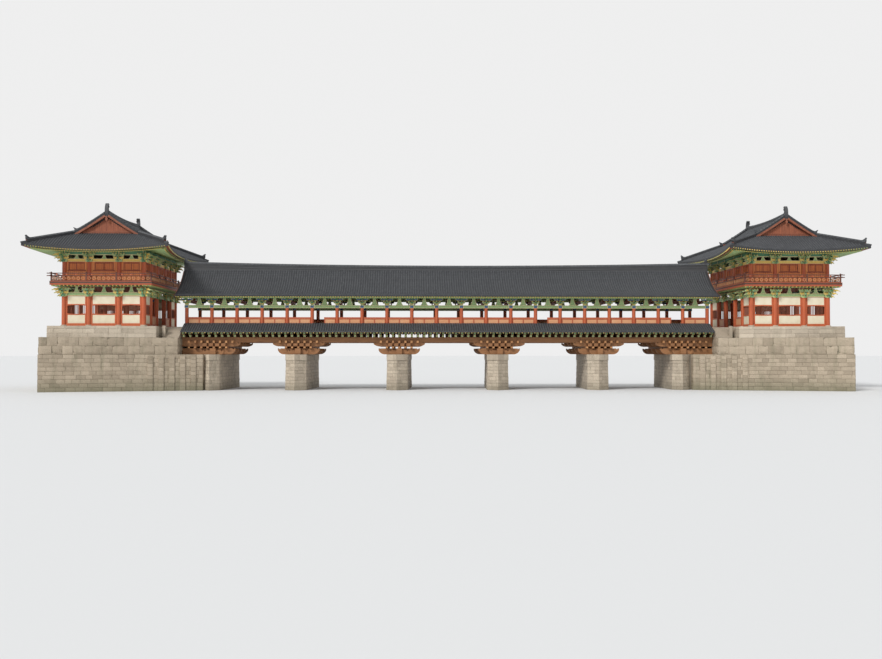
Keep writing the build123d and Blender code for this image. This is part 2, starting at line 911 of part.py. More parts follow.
def make_balcony_rail():
    # Four fence panels: posts at the corners and column lines, a foot rail, and two rails above, whose
    # tips cross outside the corner posts
    rail_x = half_x + balcony_reach - rail_inset
    rail_y = half_y + balcony_reach - rail_inset
    narrow = 2 * rail_x - rail_post - 2 * joint_gap
    height = balcony_rail_top - upper_floor
    broad_posts = [(x, y, upper_floor) for x in (-rail_x, rail_x) for y in (-rail_y, *lines_y[1:5], rail_y)]
    narrow_posts = [(x, y, upper_floor) for x in lines_x[1:3] for y in (-rail_y, rail_y)]
    with BuildPart() as rail:
        with Locations(broad_posts + narrow_posts):
            Box(rail_post, rail_post, height, align=foot)
        for level in (upper_floor, lattice_top, balcony_rail_top - rail_bar):
            with Locations((-rail_x, 0, level), (rail_x, 0, level)):
                Box(rail_bar, 2 * rail_y, rail_bar, align=foot)
            with Locations((0, -rail_y, level), (0, rail_y, level)):
                Box(narrow, rail_bar, rail_bar, align=foot)
        tips = rail_tip + rail_post / 2
        for level in (lattice_top, balcony_rail_top - rail_bar):
            with Locations([(x, y * (rail_y + tips / 2), level) for x in (-rail_x, rail_x) for y in (-1, 1)]):
                Box(rail_bar, tips, rail_bar, align=foot)
            with Locations([(x * (rail_x + tips / 2), y, level) for x in (-1, 1) for y in (-rail_y, rail_y)]):
                Box(tips, rail_bar, rail_bar, align=foot)
    return rail


def make_upper_walls():
    # Boarded walls between the upper columns, with an opening for the shutters of each bay
    with BuildPart() as walls:
        for width, use, places in bays_at(upper_floor):
            with Locations(places):
                Box(width - upper_column, wall_thickness, upper_lintel_bottom - upper_floor, align=foot)
        for width, use, places in bays_at(shutter_bottom):
            opening = width * shutter_share
            with Locations(places):
                Box(opening, wall_thickness, shutter_top - shutter_bottom, align=foot, mode=Mode.SUBTRACT)
    return walls


def make_shutters():
    with BuildPart() as shutters:
        for width, use, places in bays_at(shutter_bottom):
            with Locations(places):
                Box(width * shutter_share, shutter_thickness, shutter_top - shutter_bottom, align=foot)
    return shutters


# Pavilion roofs: hipped below, gabled above, with eaves that bow outwards and rise to the corners
soffit_level = upper_lintel_bottom + upper_lintel_height + upper_block_height + upper_beam_height
gable_wall_y = half_y + (eave_y - half_y) - (eave_x - gable_half)


def corners_at(x, y, height):
    # Corners of a level rectangle, in order round the pavilion
    return [(i * x, j * y, height) for i, j in ((-1, -1), (1, -1), (1, 1), (-1, 1))]


def eave_edges(height):
    corners = corners_at(eave_x + tip_reach, eave_y + tip_reach, height + tip_rise)
    middles = [(0, -eave_y, height), (eave_x, 0, height), (0, eave_y, height), (-eave_x, 0, height)]
    return [Edge.make_three_point_arc(corners[i], middles[i], corners[(i + 1) % 4]) for i in range(4)]


def level_edges(x, y, height):
    corners = corners_at(x, y, height)
    return [Edge.make_line(corners[i], corners[(i + 1) % 4]) for i in range(4)]


def hip_body():
    # Four slopes, the band of the eave, four soffits and the level faces that close top and bottom
    top = level_edges(gable_half, gable_wall_y, gable_base)
    eave_top = eave_edges(eave_height)
    eave_low = eave_edges(eave_height - eave_edge)
    seat = level_edges(half_x + beam_width / 2, half_y + beam_width / 2, soffit_level)
    faces_round = [Face(Wire(top)), Face(Wire(seat))]
    for inner, outer in ((top, eave_top), (eave_top, eave_low), (eave_low, seat)):
        faces_round += [Face.make_surface_from_curves(inner[i], outer[i]) for i in range(4)]
    return Solid(Shell(faces_round))


def gable_slope(rise):
    # One side of the gable, from its foot to the seat of the ridge, raised by the given amount
    ridge_half = ridge_width / 2
    return ThreePointArc(
        (gable_half, gable_base + rise),
        ((gable_half + ridge_half) / 2, (gable_base + roof_ridge_height) / 2 - roof_sag + rise),
        (ridge_half, roof_ridge_height + rise),
    )


def gable_outline(low, high):
    # The band of the gable between two heights measured from its slope
    with BuildSketch() as outline:
        with BuildLine():
            upper = gable_slope(high)
            lower = gable_slope(low)
            Line(upper @ 0, lower @ 0)
            Line(upper @ 1, (0, (upper @ 1).Y))
            Line(lower @ 1, (0, (lower @ 1).Y))
            mirror(about=Plane.YZ)
        make_face()
    return outline.sketch


def gable_field(drop):
    # The whole triangle under the slope, lowered by the drop, down to the foot of the gable
    with BuildSketch() as field:
        with BuildLine():
            slope = gable_slope(-drop)
            Line(slope @ 0, (0, gable_base - drop))
            Line(slope @ 1, (0, (slope @ 1).Y))
            mirror(about=Plane.YZ)
        make_face()
        with Locations((0, gable_base - drop / 2)):
            Rectangle(2 * gable_half, drop, mode=Mode.SUBTRACT)
    return field.sketch


def facing_plane(y):
    return Plane((0, y, 0), (1, 0, 0), (0, -1, 0))


def hip_plane(x_side, y_side):
    # A plane square to the hip line of one corner, at its upper end
    start = Vector(x_side * gable_half, y_side * gable_wall_y, gable_base)
    end = Vector(x_side * (eave_x + tip_reach), y_side * (eave_y + tip_reach), eave_height + tip_rise)
    run_x = eave_x + tip_reach - gable_half
    run_y = eave_y + tip_reach - gable_wall_y
    across = Vector(-y_side * run_y, x_side * run_x, 0)
    return Plane(start, across, end - start), (end - start).length


def make_roof():
    with BuildPart() as roof:
        add(hip_body())
        with BuildSketch(facing_plane(roof_ridge_half)):
            with BuildLine():
                slope = gable_slope(0)
                Line(slope @ 0, (0, gable_base))
                Line(slope @ 1, (0, roof_ridge_height))
                mirror(about=Plane.YZ)
            make_face()
        extrude(amount=2 * roof_ridge_half)
        with BuildSketch(facing_plane(roof_ridge_half), facing_plane(verge_overhang - roof_ridge_half)):
            add(gable_field(verge_thickness))
        extrude(amount=verge_overhang, mode=Mode.SUBTRACT)
        with BuildSketch(facing_plane(roof_ridge_half), facing_plane(verge_ridge_width - roof_ridge_half)):
            add(gable_outline(0, verge_ridge_height))
            Rectangle(ridge_width, 4 * roof_ridge_height, mode=Mode.SUBTRACT)
        extrude(amount=verge_ridge_width)
        for x_side in (-1, 1):
            for y_side in (-1, 1):
                plane, length = hip_plane(x_side, y_side)
                with BuildSketch(plane):
                    Rectangle(hip_ridge_width, 2 * hip_ridge_height)
                extrude(amount=length - hip_ridge_stop)
    return roof


def finial_outline(seat, level):
    # The ornament seen from the side: a broad foot, a swelling back and a tip that curls inwards
    foot = roof_ridge_half - finial_width
    tip = (roof_ridge_half - finial_tip_in, level + finial_height)
    lip = (roof_ridge_half - finial_lip_in, level + finial_lip_height)
    with BuildSketch() as outline:
        with BuildLine():
            back = (roof_ridge_half + finial_bulge, level + finial_height / 2)
            hollow = (roof_ridge_half - finial_width / 2, level + finial_height / 2)
            ThreePointArc((roof_ridge_half, seat), back, tip)
            Polyline((roof_ridge_half, seat), (foot, seat), (foot, level))
            ThreePointArc((foot, level), hollow, lip)
            Line(lip, tip)
        make_face()
    return outline.sketch


def make_roof_ridge():
    # The crest dips between its ends, where a tall curled ornament stands
    crest_tip = roof_ridge_height + ridge_tip_height
    with BuildPart() as ridge:
        with BuildSketch(Plane((-ridge_width / 2, 0, 0), (0, 1, 0), (1, 0, 0))):
            with BuildLine():
                crest = ThreePointArc(
                    (-roof_ridge_half, crest_tip),
                    (0, roof_ridge_height + ridge_mid_height),
                    (roof_ridge_half, crest_tip),
                )
                Polyline(
                    crest @ 0,
                    (-roof_ridge_half, roof_ridge_height),
                    (roof_ridge_half, roof_ridge_height),
                    crest @ 1,
                )
            make_face()
        extrude(amount=ridge_width)
        with BuildSketch(Plane((-ridge_width / 2, 0, 0), (0, 1, 0), (1, 0, 0))):
            add(finial_outline(roof_ridge_height, crest_tip))
            mirror(about=Plane.YZ)
        extrude(amount=ridge_width)
    return ridge


ground_frieze = make_frieze(
    ground_lintel_bottom,
    ground_lintel_height,
    ground_block_height,
    ground_beam_height,
    bracket_spread / 2,
)
upper_frieze = make_frieze(
    upper_lintel_bottom,
    upper_lintel_height,
    upper_block_height,
    upper_beam_height,
    bracket_spread / 2,
)
stand_on_banks(make_columns(ground_column, podium_top, ground_lintel_bottom), "ground_columns")
stand_on_banks(make_panels(), "ground_panels")
stand_on_banks(make_jambs(), "window_jambs")
stand_on_banks(ground_frieze, "ground_frieze")
stand_on_banks(make_balcony(), "balcony")
stand_on_banks(make_balcony_rail(), "balcony_rail")
stand_on_banks(make_columns(upper_column, upper_floor, upper_lintel_bottom), "upper_columns")
stand_on_banks(make_upper_walls(), "upper_walls")
stand_on_banks(make_shutters(), "shutters")
stand_on_banks(upper_frieze, "upper_frieze")
stand_on_banks(make_roof(), "pavilion_roof")
stand_on_banks(make_roof_ridge(), "pavilion_ridge")
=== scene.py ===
import math
import random

import bmesh
import bpy
import numpy as np
from mathutils import Matrix, Vector
from mathutils.bvhtree import BVHTree


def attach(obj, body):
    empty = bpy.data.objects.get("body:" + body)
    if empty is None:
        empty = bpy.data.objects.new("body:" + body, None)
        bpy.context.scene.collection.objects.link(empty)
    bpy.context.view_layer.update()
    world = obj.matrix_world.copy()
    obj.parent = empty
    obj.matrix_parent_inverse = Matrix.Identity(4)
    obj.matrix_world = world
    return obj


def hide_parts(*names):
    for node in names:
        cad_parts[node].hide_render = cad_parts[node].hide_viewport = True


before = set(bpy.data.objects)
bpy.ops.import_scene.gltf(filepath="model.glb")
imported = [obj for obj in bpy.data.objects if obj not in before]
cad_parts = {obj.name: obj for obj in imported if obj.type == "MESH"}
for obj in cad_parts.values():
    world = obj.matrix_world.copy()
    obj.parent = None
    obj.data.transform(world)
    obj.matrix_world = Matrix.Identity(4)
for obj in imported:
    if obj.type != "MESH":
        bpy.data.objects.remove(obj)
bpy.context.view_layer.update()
chance = random.Random(21)

# View: from the water in front of the bridge, a little left of its middle and turned to the right,
# with the eye at the height of a person on a low bank.
camera_data = bpy.data.cameras.new("camera")
camera_data.sensor_width = 36
camera_data.lens = 40.54
camera_data.clip_end = 300
camera = bpy.data.objects.new("camera", camera_data)
camera.location = (-0.485, -13.0, 0.47)
camera.rotation_euler = (math.radians(91.32), 0, math.radians(-1.74))
bpy.context.scene.collection.objects.link(camera)
bpy.context.scene.camera = camera

# Floor and light: a plain pale floor under an even sky that looks light grey behind the bridge, and one
# soft lamp from the upper left, which brings out the stones, the brackets and the rows of tiles.
floor_mesh = bpy.data.meshes.new("floor")
floor_shape = bmesh.new()
bmesh.ops.create_grid(floor_shape, size=120)
floor_shape.to_mesh(floor_mesh)
floor_shape.free()
floor = bpy.data.objects.new("floor", floor_mesh)
bpy.context.scene.collection.objects.link(floor)
floor_paint = bpy.data.materials.new("floor_paint")
floor_paint.use_nodes = True
floor_shader = floor_paint.node_tree.nodes["Principled BSDF"]
floor_shader.inputs["Base Color"].default_value = (0.72, 0.72, 0.71, 1)
floor_shader.inputs["Roughness"].default_value = 0.85
floor_mesh.materials.append(floor_paint)

sun_data = bpy.data.lights.new("sun", "SUN")
sun_data.energy = 2.1
sun_data.angle = math.radians(14)
sun = bpy.data.objects.new("sun", sun_data)
sun.rotation_euler = (math.radians(50), math.radians(-12), math.radians(-28))
bpy.context.scene.collection.objects.link(sun)

world = bpy.data.worlds.new("world")
bpy.context.scene.world = world
world.use_nodes = True
sky = world.node_tree
sky_light = sky.nodes["Background"]
sky_light.inputs["Color"].default_value = (0.95, 0.97, 1.0, 1)
sky_light.inputs["Strength"].default_value = 0.72
sky_seen = sky.nodes.new("ShaderNodeBackground")
sky_seen.inputs["Color"].default_value = (0.86, 0.86, 0.86, 1)
sky_rays = sky.nodes.new("ShaderNodeLightPath")
sky_choice = sky.nodes.new("ShaderNodeMixShader")
sky.links.new(sky_rays.outputs["Is Camera Ray"], sky_choice.inputs[0])
sky.links.new(sky_light.outputs[0], sky_choice.inputs[1])
sky.links.new(sky_seen.outputs[0], sky_choice.inputs[2])
sky.links.new(sky_choice.outputs[0], sky.nodes["World Output"].inputs["Surface"])
bpy.context.scene.view_settings.view_transform = "Standard"


# Piers and abutments: granite ashlar laid in level courses round a boat-shaped plan, with tight joints
# and rounded arrises, under a cap course of longer stones. The solid behind is the bedding mortar.
class Signal:
    # A shader socket that sums can be written with
    def __init__(self, tree, socket=None):
        self.tree = tree
        self.socket = socket

    def node(self, kind, settings, sockets, out=0):
        made = self.tree.nodes.new(kind)
        for key, value in settings.items():
            setattr(made, key, value)
        for key, value in sockets.items():
            if isinstance(value, Signal):
                self.tree.links.new(value.socket, made.inputs[key])
            else:
                made.inputs[key].default_value = value
        return Signal(self.tree, made.outputs[out])

    def math(self, operation, *values):
        # Of the values that are given, or else of this one
        return self.node("ShaderNodeMath", {"operation": operation}, dict(enumerate(values or (self,))))

    def __add__(self, other):
        return self.math("ADD", self, other)

    def __sub__(self, other):
        return self.math("SUBTRACT", self, other)

    def __rsub__(self, other):
        return self.math("SUBTRACT", other, self)

    def __mul__(self, other):
        return self.math("MULTIPLY", self, other)

    __radd__ = __add__
    __rmul__ = __mul__

    def blend(self, low, high):
        # This value leads from one colour to another
        low, high = (value if isinstance(value, Signal) else (*value, 1.0) for value in (low, high))
        return self.node("ShaderNodeMix", {"data_type": "RGBA"}, {0: self, 6: low, 7: high}, 2)

    def between(self, low, high):
        # This value spread out so that low gives 0 and high gives 1
        return self.node("ShaderNodeMapRange", {}, {0: self, 1: low, 2: high, 3: 0.0, 4: 1.0})

    def noise(self, scale, detail, rough):
        sockets = {"Vector": self, "Scale": scale, "Detail": detail, "Roughness": rough}
        return self.node("ShaderNodeTexNoise", {}, sockets)

    def stretched(self, scale):
        return self.node("ShaderNodeMapping", {}, {"Vector": self, "Scale": scale})

    def axis(self, name):
        return self.node("ShaderNodeSeparateXYZ", {}, {"Vector": self}, name)

    def tone(self):
        # The tone that each stone, tile or board has of its own
        return self.node("ShaderNodeAttribute", {"attribute_name": "tone"}, {}, "Fac")


def start_finish(name):
    # A new finish and the object's own coordinates in it
    finish = bpy.data.materials.new(name)
    finish.use_nodes = True
    return finish, Signal(finish.node_tree).node("ShaderNodeTexCoord", {}, {}, "Object")


def close_finish(finish, colour, roughness, height, depth):
    # Colour, gloss and relief go to the shader. The depth of the relief is in metres
    shader = finish.node_tree.nodes["Principled BSDF"]
    relief = height.node("ShaderNodeBump", {}, {"Strength": 0.8, "Distance": depth, "Height": height})
    for name, signal in (("Base Color", colour), ("Roughness", roughness), ("Normal", relief)):
        finish.node_tree.links.new(signal.socket, shader.inputs[name])
    return finish


def granite(name, light, dark, stain, stain_top, roughness, grit):
    # Speckled stone with a tone for each block and a darker tide mark near the water
    finish, place = start_finish(name)
    speckle = place.noise(420.0, 3.0, 0.7)
    cloud = place.noise(9.0, 4.0, 0.6)
    streak = place.stretched((14.0, 14.0, 2.2)).noise(1.0, 5.0, 0.6)
    stone = (place.tone() * 0.55 + cloud * 0.45).blend(dark, light)
    stone = speckle.between(0.32, 0.46).blend((0.11, 0.09, 0.07), stone)
    stone = (streak.between(0.5, 0.72) * 0.34).blend(stone, stain)
    tide = (place.axis("Z") + streak * 0.05).between(stain_top, 0.012) * 0.62
    stone = tide.blend(stone, stain)
    height = speckle * grit + place.noise(60.0, 4.0, 0.6)
    return close_finish(finish, stone, speckle * 0.16 + roughness, height, 0.0016)


def at(x, y, z):
    return Matrix.Translation((x, y, z))


def sized(x, y, z):
    return Matrix.Diagonal((x, y, z, 1))


def turned(degrees, about="Z"):
    return Matrix.Rotation(math.radians(degrees), 4, about)


class Copies:
    # Unit meshes by name, each with the places of its copies, counted from a stand that can be moved
    def __init__(self, units):
        self.units = dict(units)
        self.places = {name: [] for name in self.units}
        self.stand = Matrix()

    def add(self, name, *places):
        self.places[name].extend(self.stand @ place for place in places)

    def moved(self, x):
        # The same copies further along the bridge
        again = Copies(self.units)
        again.stand = at(x, 0, 0)
        for name, places in self.places.items():
            again.add(name, *places)
        return again


def read(items, key, kind, width=1):
    # One value of every point, corner or face of a mesh
    values = np.empty(len(items) * width, kind)
    items.foreach_get(key, values)
    return values


def join_copies(name, copies):
    # One mesh out of all the placed copies, each copy with its own tone
    parts = {"points": [], "corners": [], "starts": [], "kinds": [], "smooth": [], "tones": []}
    point_count = corner_count = 0
    for key, unit in copies.units.items():
        places = copies.places[key]
        if not places:
            continue
        count = len(places)
        steps = np.arange(count)[:, None]
        points = read(unit.vertices, "co", float, 3).reshape(-1, 3)
        points = np.c_[points, np.ones(len(points))]
        corners = read(unit.loops, "vertex_index", int)
        starts = read(unit.polygons, "loop_start", int)
        moves = np.array([np.array(place) for place in places])
        parts["points"].append(np.einsum("kij,nj->kni", moves, points)[:, :, :3].reshape(-1, 3))
        parts["corners"].append((corners + point_count + steps * len(points)).ravel())
        parts["starts"].append((starts + corner_count + steps * len(corners)).ravel())
        parts["kinds"].append(np.tile(read(unit.polygons, "material_index", int), count))
        parts["smooth"].append(np.tile(read(unit.polygons, "use_smooth", bool), count))
        parts["tones"].append(np.repeat([chance.random() for place in places], len(points)))
        point_count += len(points) * count
        corner_count += len(corners) * count
    joined = {key: np.concatenate(value) for key, value in parts.items()}
    mesh = bpy.data.meshes.new(name)
    mesh.vertices.add(point_count)
    mesh.vertices.foreach_set("co", joined["points"].ravel())
    mesh.loops.add(corner_count)
    mesh.loops.foreach_set("vertex_index", joined["corners"])
    mesh.polygons.add(len(joined["starts"]))
    mesh.polygons.foreach_set("loop_start", joined["starts"])
    mesh.polygons.foreach_set("material_index", joined["kinds"])
    mesh.polygons.foreach_set("use_smooth", joined["smooth"])
    mesh.update(calc_edges=True)
    mesh.attributes.new("tone", "FLOAT", "POINT").data.foreach_set("value", joined["tones"])
    return mesh


def piece(name, copies, finishes, stands_for=()):
    mesh = join_copies(name, copies)
    for finish in finishes:
        mesh.materials.append(finish)
    made = bpy.data.objects.new(name, mesh)
    bpy.context.scene.collection.objects.link(made)
    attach(made, "root")
    if stands_for:
        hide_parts(*stands_for)


def dress(finish, *names):
    # Gives the finish to every node whose name starts with one of the names
    for node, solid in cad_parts.items():
        if node.startswith(names):
            for slot in solid.material_slots:
                slot.material = finish


def as_mesh(shape, face_up=False):
    # A unit mesh. An open sheet has no outside, so it can be told to face up
    mesh = bpy.data.meshes.new("unit")
    bmesh.ops.recalc_face_normals(shape, faces=shape.faces)
    if face_up and sum(face.normal.z for face in shape.faces) < 0:
        bmesh.ops.reverse_faces(shape, faces=shape.faces)
    shape.to_mesh(mesh)
    shape.free()
    return mesh


def soften(shape, edges, offset, segments=1):
    bmesh.ops.bevel(
        shape, geom=edges, offset=offset, segments=segments, profile=0.5, affect="EDGES", material=-1
    )


def stone_unit(rough, round_edge, cuts):
    # A block one unit long and high, its outer face towards -Y standing at zero depth, thick behind
    shape = bmesh.new()
    bmesh.ops.create_cube(shape, size=1.0, matrix=at(0, 0.5, 0))
    front = [face for face in shape.faces if face.calc_center_median().y < 0.01]
    bmesh.ops.subdivide_edges(shape, edges=front[0].edges, cuts=cuts, use_grid_fill=True)
    for vert in shape.verts:
        inside = abs(vert.co.x) < 0.49 and abs(vert.co.z) < 0.49
        if vert.co.y < 0.01:
            vert.co.y += (chance.random() - (1.0 if inside else 0.2)) * rough
            vert.co.x += (chance.random() - 0.5) * 0.03
            vert.co.z += (chance.random() - 0.5) * 0.05
    outer = [edge for edge in shape.edges if all(vert.co.y < 0.5 for vert in edge.verts)]
    soften(shape, [edge for edge in outer if edge.calc_face_angle(0) > 0.8], round_edge)
    return as_mesh(shape)


def wall_stones(copies, start, end, bottom, top, courses, length, depth, lean=0.0):
    # Blocks laid in courses from a point in plan to another, the wall's outer side on the right hand
    joint, least_length = 0.0022, 0.012
    reach = (end - start).length
    along = (end - start).normalized()
    outward = Vector((along.y, -along.x))
    course_height = (top - bottom) / courses
    for course in range(courses):
        level = bottom + course * course_height + course_height / 2
        spot = -length * chance.uniform(0.0, 0.6)
        while spot < reach - 0.001:
            first, last = max(spot, 0.0), min(spot + length * chance.uniform(0.75, 1.3), reach)
            if reach - last < length * 0.3:
                last = reach
            spot = last
            if last - first < least_length:
                continue
            proud = 0.003 + chance.uniform(0, 0.0022) - lean * level
            middle = start + along * (first + last) / 2 + outward * proud
            turn = Matrix((
                (along.x, -outward.x, 0, middle.x),
                (along.y, -outward.y, 0, middle.y),
                (0, 0, 1, level),
                (0, 0, 0, 1),
            ))
            size = sized(last - first - joint, depth, course_height - joint)
            copies.add(chance.randrange(len(copies.units)), turn @ size)


banks = {"left": -1, "right": 1}
faces = {"front": -1, "back": 1}
pale_granite = granite(
    "pale_granite", (0.66, 0.56, 0.43), (0.40, 0.33, 0.25), (0.16, 0.14, 0.09), 0.16, 0.62, 0.5
)
mortar = granite(
    "bedding_mortar", (0.30, 0.25, 0.19), (0.20, 0.17, 0.13), (0.12, 0.10, 0.07), 0.16, 0.8, 0.8
)
dress(mortar, "pier_1", "pier_2", "pier_3", "pier_4", "abutment_left", "abutment_right")
ashlar_units = [stone_unit(0.12, 0.035, 1) for number in range(6)]
pier_places = [-1.89, -0.63, 0.63, 1.89]
abutment_place = 2.94
pier_half, abutment_half = 0.1225, 0.0975
pier_flank, pier_nose = 0.57, 0.1
pier_skew = math.radians(-2.5)
pier_lean = math.tan(math.radians(1.5))
shaft_top, cap_top = 0.37, 0.445
cap_spread = 0.008
ashlar_depth = 0.014
# Bottom, top and courses of a wall, length and depth of its blocks, and how much it leans
shaft_wall = (0.0, shaft_top, 9, 0.085, ashlar_depth, pier_lean)
cap_wall = (shaft_top, cap_top, 1, 0.15, ashlar_depth)


def pier_corners(place, half, spread):
    # The six corners of the plan, counter-clockwise, moved out by the spread and turned to the river
    slope = math.hypot(half, pier_nose)
    nose = pier_flank + pier_nose + spread * slope / half
    flank = pier_flank + spread * (slope - pier_nose) / half
    wide = half + spread
    turn = Matrix.Rotation(pier_skew, 2)
    corners = [(-wide, -flank), (0, -nose), (wide, -flank), (wide, flank), (0, nose), (-wide, flank)]
    return [turn @ Vector(corner) + Vector((place, 0)) for corner in corners]


def lay_pier(name, place, half, walls):
    # The walls of a pier or abutment, each counted by the corner where it starts
    copies = Copies(enumerate(ashlar_units))
    foot = pier_corners(place, half, shaft_top * pier_lean)
    cap = pier_corners(place, half, cap_spread)
    for wall in walls:
        after = (wall + 1) % 6
        wall_stones(copies, foot[wall], foot[after], *shaft_wall)
        wall_stones(copies, cap[wall], cap[after], *cap_wall)
    piece(name, copies, [pale_granite])


for number, place in enumerate(pier_places, 1):
    lay_pier(f"pier_stones_{number}", place, pier_half, range(6))
for side_name, side in banks.items():
    in_bank = 2 if side > 0 else 5
    seen = [wall for wall in range(6) if wall != in_bank]
    lay_pier(f"abutment_stones_{side_name}", side * abutment_place, abutment_half, seen)

# Bank terraces: a lower wall of squared stones with dressed ribs, and on it a wall of big rough stones
# in two courses, both laid against packed earth, whose level top shows behind them.
rough_granite = granite(
    "rough_granite", (0.56, 0.46, 0.34), (0.30, 0.24, 0.17), (0.11, 0.12, 0.06), 0.2, 0.7, 1.0
)
terrace_core = granite(
    "terrace_core", (0.30, 0.25, 0.18), (0.19, 0.16, 0.11), (0.13, 0.12, 0.07), 0.2, 0.85, 1.2
)
dress(terrace_core, "terrace")
rough_units = [stone_unit(0.30, 0.06, 2) for number in range(8)]
bank_start, bank_end = 3.05, 4.87
bank_near, bank_far = 0.66, 1.18
upper_start, upper_inset, upper_seam = 3.345, 0.02, 0.5
bank_slope = (bank_far - bank_near) / (bank_end - bank_start)
bank_angle = math.degrees(math.atan(bank_slope))
terrace_top = 0.65
lower_courses = 9
lower_wall = (0.0, cap_top, lower_courses, 0.1, ashlar_depth)
upper_wall = (cap_top, terrace_top, 2, 0.15, 0.02)
rib_places = [3.16 + 0.122 * number for number in range(5)]
rib_width, rib_depth, rib_out = 0.062, 0.02, 0.017
rib_drop = 0.02
rib_height = (cap_top - rib_drop) / lower_courses
stone_joint = 0.002


def bank_front(x):
    return bank_near + (x - bank_start) * bank_slope


def mirrored(corners):
    # Corners of the front half of a plan, and then those of the back half
    return corners + [(x, -y) for x, y in reversed(corners)]


def wall_round(copies, side, corners, *sizes):
    # Walls round a bank, whose corners are given for the right bank, counter-clockwise
    places = [Vector((side * x, y)) for x, y in corners]
    if side < 0:
        places.reverse()
    for start, end in zip(places, places[1:]):
        wall_stones(copies, start, end, *sizes)


def on_face(face, x, out, z):
    # A place on the front, or turned round on the back, so that it faces away from the bridge
    return at(x, face * out, z) @ turned(180 if face > 0 else 0)


for side_name, side in banks.items():
    copies = Copies(enumerate(ashlar_units))
    lower = mirrored([(bank_start, -pier_flank), (bank_start, -bank_near), (bank_end, -bank_far)])
    wall_round(copies, side, lower, *lower_wall)
    for face in faces.values():
        for place in rib_places:
            for course in range(lower_courses):
                spot = at(side * place, face * bank_front(place), rib_height * (course + 0.5))
                spot = spot @ turned(side * face * bank_angle) @ on_face(face, 0, rib_out, 0)
                size = sized(rib_width, rib_depth, rib_height - stone_joint)
                copies.add(chance.randrange(len(ashlar_units)), spot @ size)
    piece(f"terrace_wall_{side_name}", copies, [rough_granite])
    copies = Copies(enumerate(rough_units))
    near, far = bank_front(upper_start) - upper_inset, bank_far - upper_inset
    upper = [
        (upper_start, upper_seam), (upper_start, -near), (bank_end, -far),
        (bank_end, far), (upper_start, near), (upper_start, upper_seam),
    ]
    wall_round(copies, side, upper, *upper_wall)
    piece(f"bank_wall_{side_name}", copies, [rough_granite])

# Podiums and stairs: long dressed granite blocks in two courses under a coping, round a floor of square
# flags laid in sand. The stairs are solid granite steps.
podium_start, podium_end = 3.59, 4.85
podium_half, landing_half = 0.945, 0.425
podium_top = 0.79
coping_foot = podium_top - 0.035
podium_wall = (terrace_top, coping_foot, 2, 0.17, 0.012)
coping_wall = (coping_foot, podium_top + 0.001, 1, 0.2, 0.03)
cut_near = bank_front(podium_start) - upper_inset
cut_end = bank_start + (podium_half + upper_inset - bank_near) / bank_slope
smooth_units = [stone_unit(0.05, 0.03, 1) for number in range(4)]
podium_rim = mirrored([
    (upper_start, -landing_half), (podium_start, -landing_half), (podium_start, -cut_near),
    (cut_end, -podium_half), (podium_end, -podium_half),
])
for side_name, side in banks.items():
    copies = Copies(enumerate(smooth_units))
    wall_round(copies, side, podium_rim, *podium_wall)
    wall_round(copies, side, podium_rim, *coping_wall)
    piece(f"podium_stones_{side_name}", copies, [pale_granite])


def bond(place, light, dark, joint, gap, length, width):
    # The colour of each flag or board of a bond, and where the joints between them are
    sockets = {
        "Vector": place, "Scale": 1.0, "Color1": (*light, 1.0), "Color2": (*dark, 1.0),
        "Mortar": (*joint, 1.0), "Mortar Size": gap, "Mortar Smooth": 0.2,
        "Brick Width": length, "Row Height": width,
    }
    return [place.node("ShaderNodeTexBrick", {}, sockets, out) for out in ("Color", "Fac")]


podium_paving, place = start_finish("podium_paving")
flags, gaps = bond(place, (0.50, 0.43, 0.33), (0.36, 0.30, 0.23), (0.14, 0.12, 0.09), 0.0016, 0.06, 0.06)
speckle = place.noise(260.0, 4.0, 0.7)
colour = (speckle.between(0.3, 0.7) * 0.35).blend(flags, (0.2, 0.16, 0.12))
close_finish(podium_paving, colour, speckle * 0.2 + 0.6, speckle * 0.3 + (1 - gaps), 0.002)
dress(podium_paving, "podium")
dress(pale_granite, "bank_stairs")


# Heavy timbers of the bridge: corbel arms and cross beams hewn from logs, oiled orange brown, with grain
# along the bridge, long drying cracks and darker ends. The girders above are of the same timber.
def timber(name, base, dark, fade, grain, roughness, crack=0.5):
    # Wood or painted wood. The grain runs along the direction whose stretch is the smallest
    finish, place = start_finish(name)
    fibre = place.stretched(grain).noise(1.0, 6.0, 0.65)
    patch = place.noise(7.0, 3.0, 0.5)
    fine = place.stretched(tuple(6 * value for value in grain)).noise(1.0, 3.0, 0.6)
    colour = (fibre.between(0.3, 0.7) * 0.75 + place.tone() * 0.25).blend(dark, base)
    colour = (patch.between(0.48, 0.72) * 0.30).blend(colour, fade)
    split = fine.between(0.36, 0.28) * crack
    colour = split.blend(colour, (0.02, 0.012, 0.008))
    return close_finish(finish, colour, patch * 0.2 + roughness, fibre * 0.6 + fine * 0.4 - split, 0.0016)


bridge_timber = timber(
    "bridge_timber", (0.44, 0.20, 0.075), (0.20, 0.085, 0.03), (0.30, 0.15, 0.07), (6.0, 90.0, 90.0), 0.5
)
dress(bridge_timber, "pier_corbel", "abutment_corbel", "main_girders")

# Floor of the walk: long planks of bare wood nailed side by side over the joists, with open joints, each
# with its own tone and its grain along the bridge.
floor_boards, place = start_finish("floor_boards")
boards, gaps = bond(place, (0.46, 0.29, 0.17), (0.28, 0.17, 0.10), (0.02, 0.013, 0.01), 0.0011, 0.42, 0.03)
fibre = place.stretched((5.0, 60.0, 60.0)).noise(1.0, 6.0, 0.65)
colour = (fibre.between(0.62, 0.3) * 0.45).blend(boards, (0.12, 0.07, 0.04))
close_finish(floor_boards, colour, fibre * 0.2 + 0.5, fibre * 0.4 + (1 - gaps), 0.0016)
dress(floor_boards, "walk_floor")


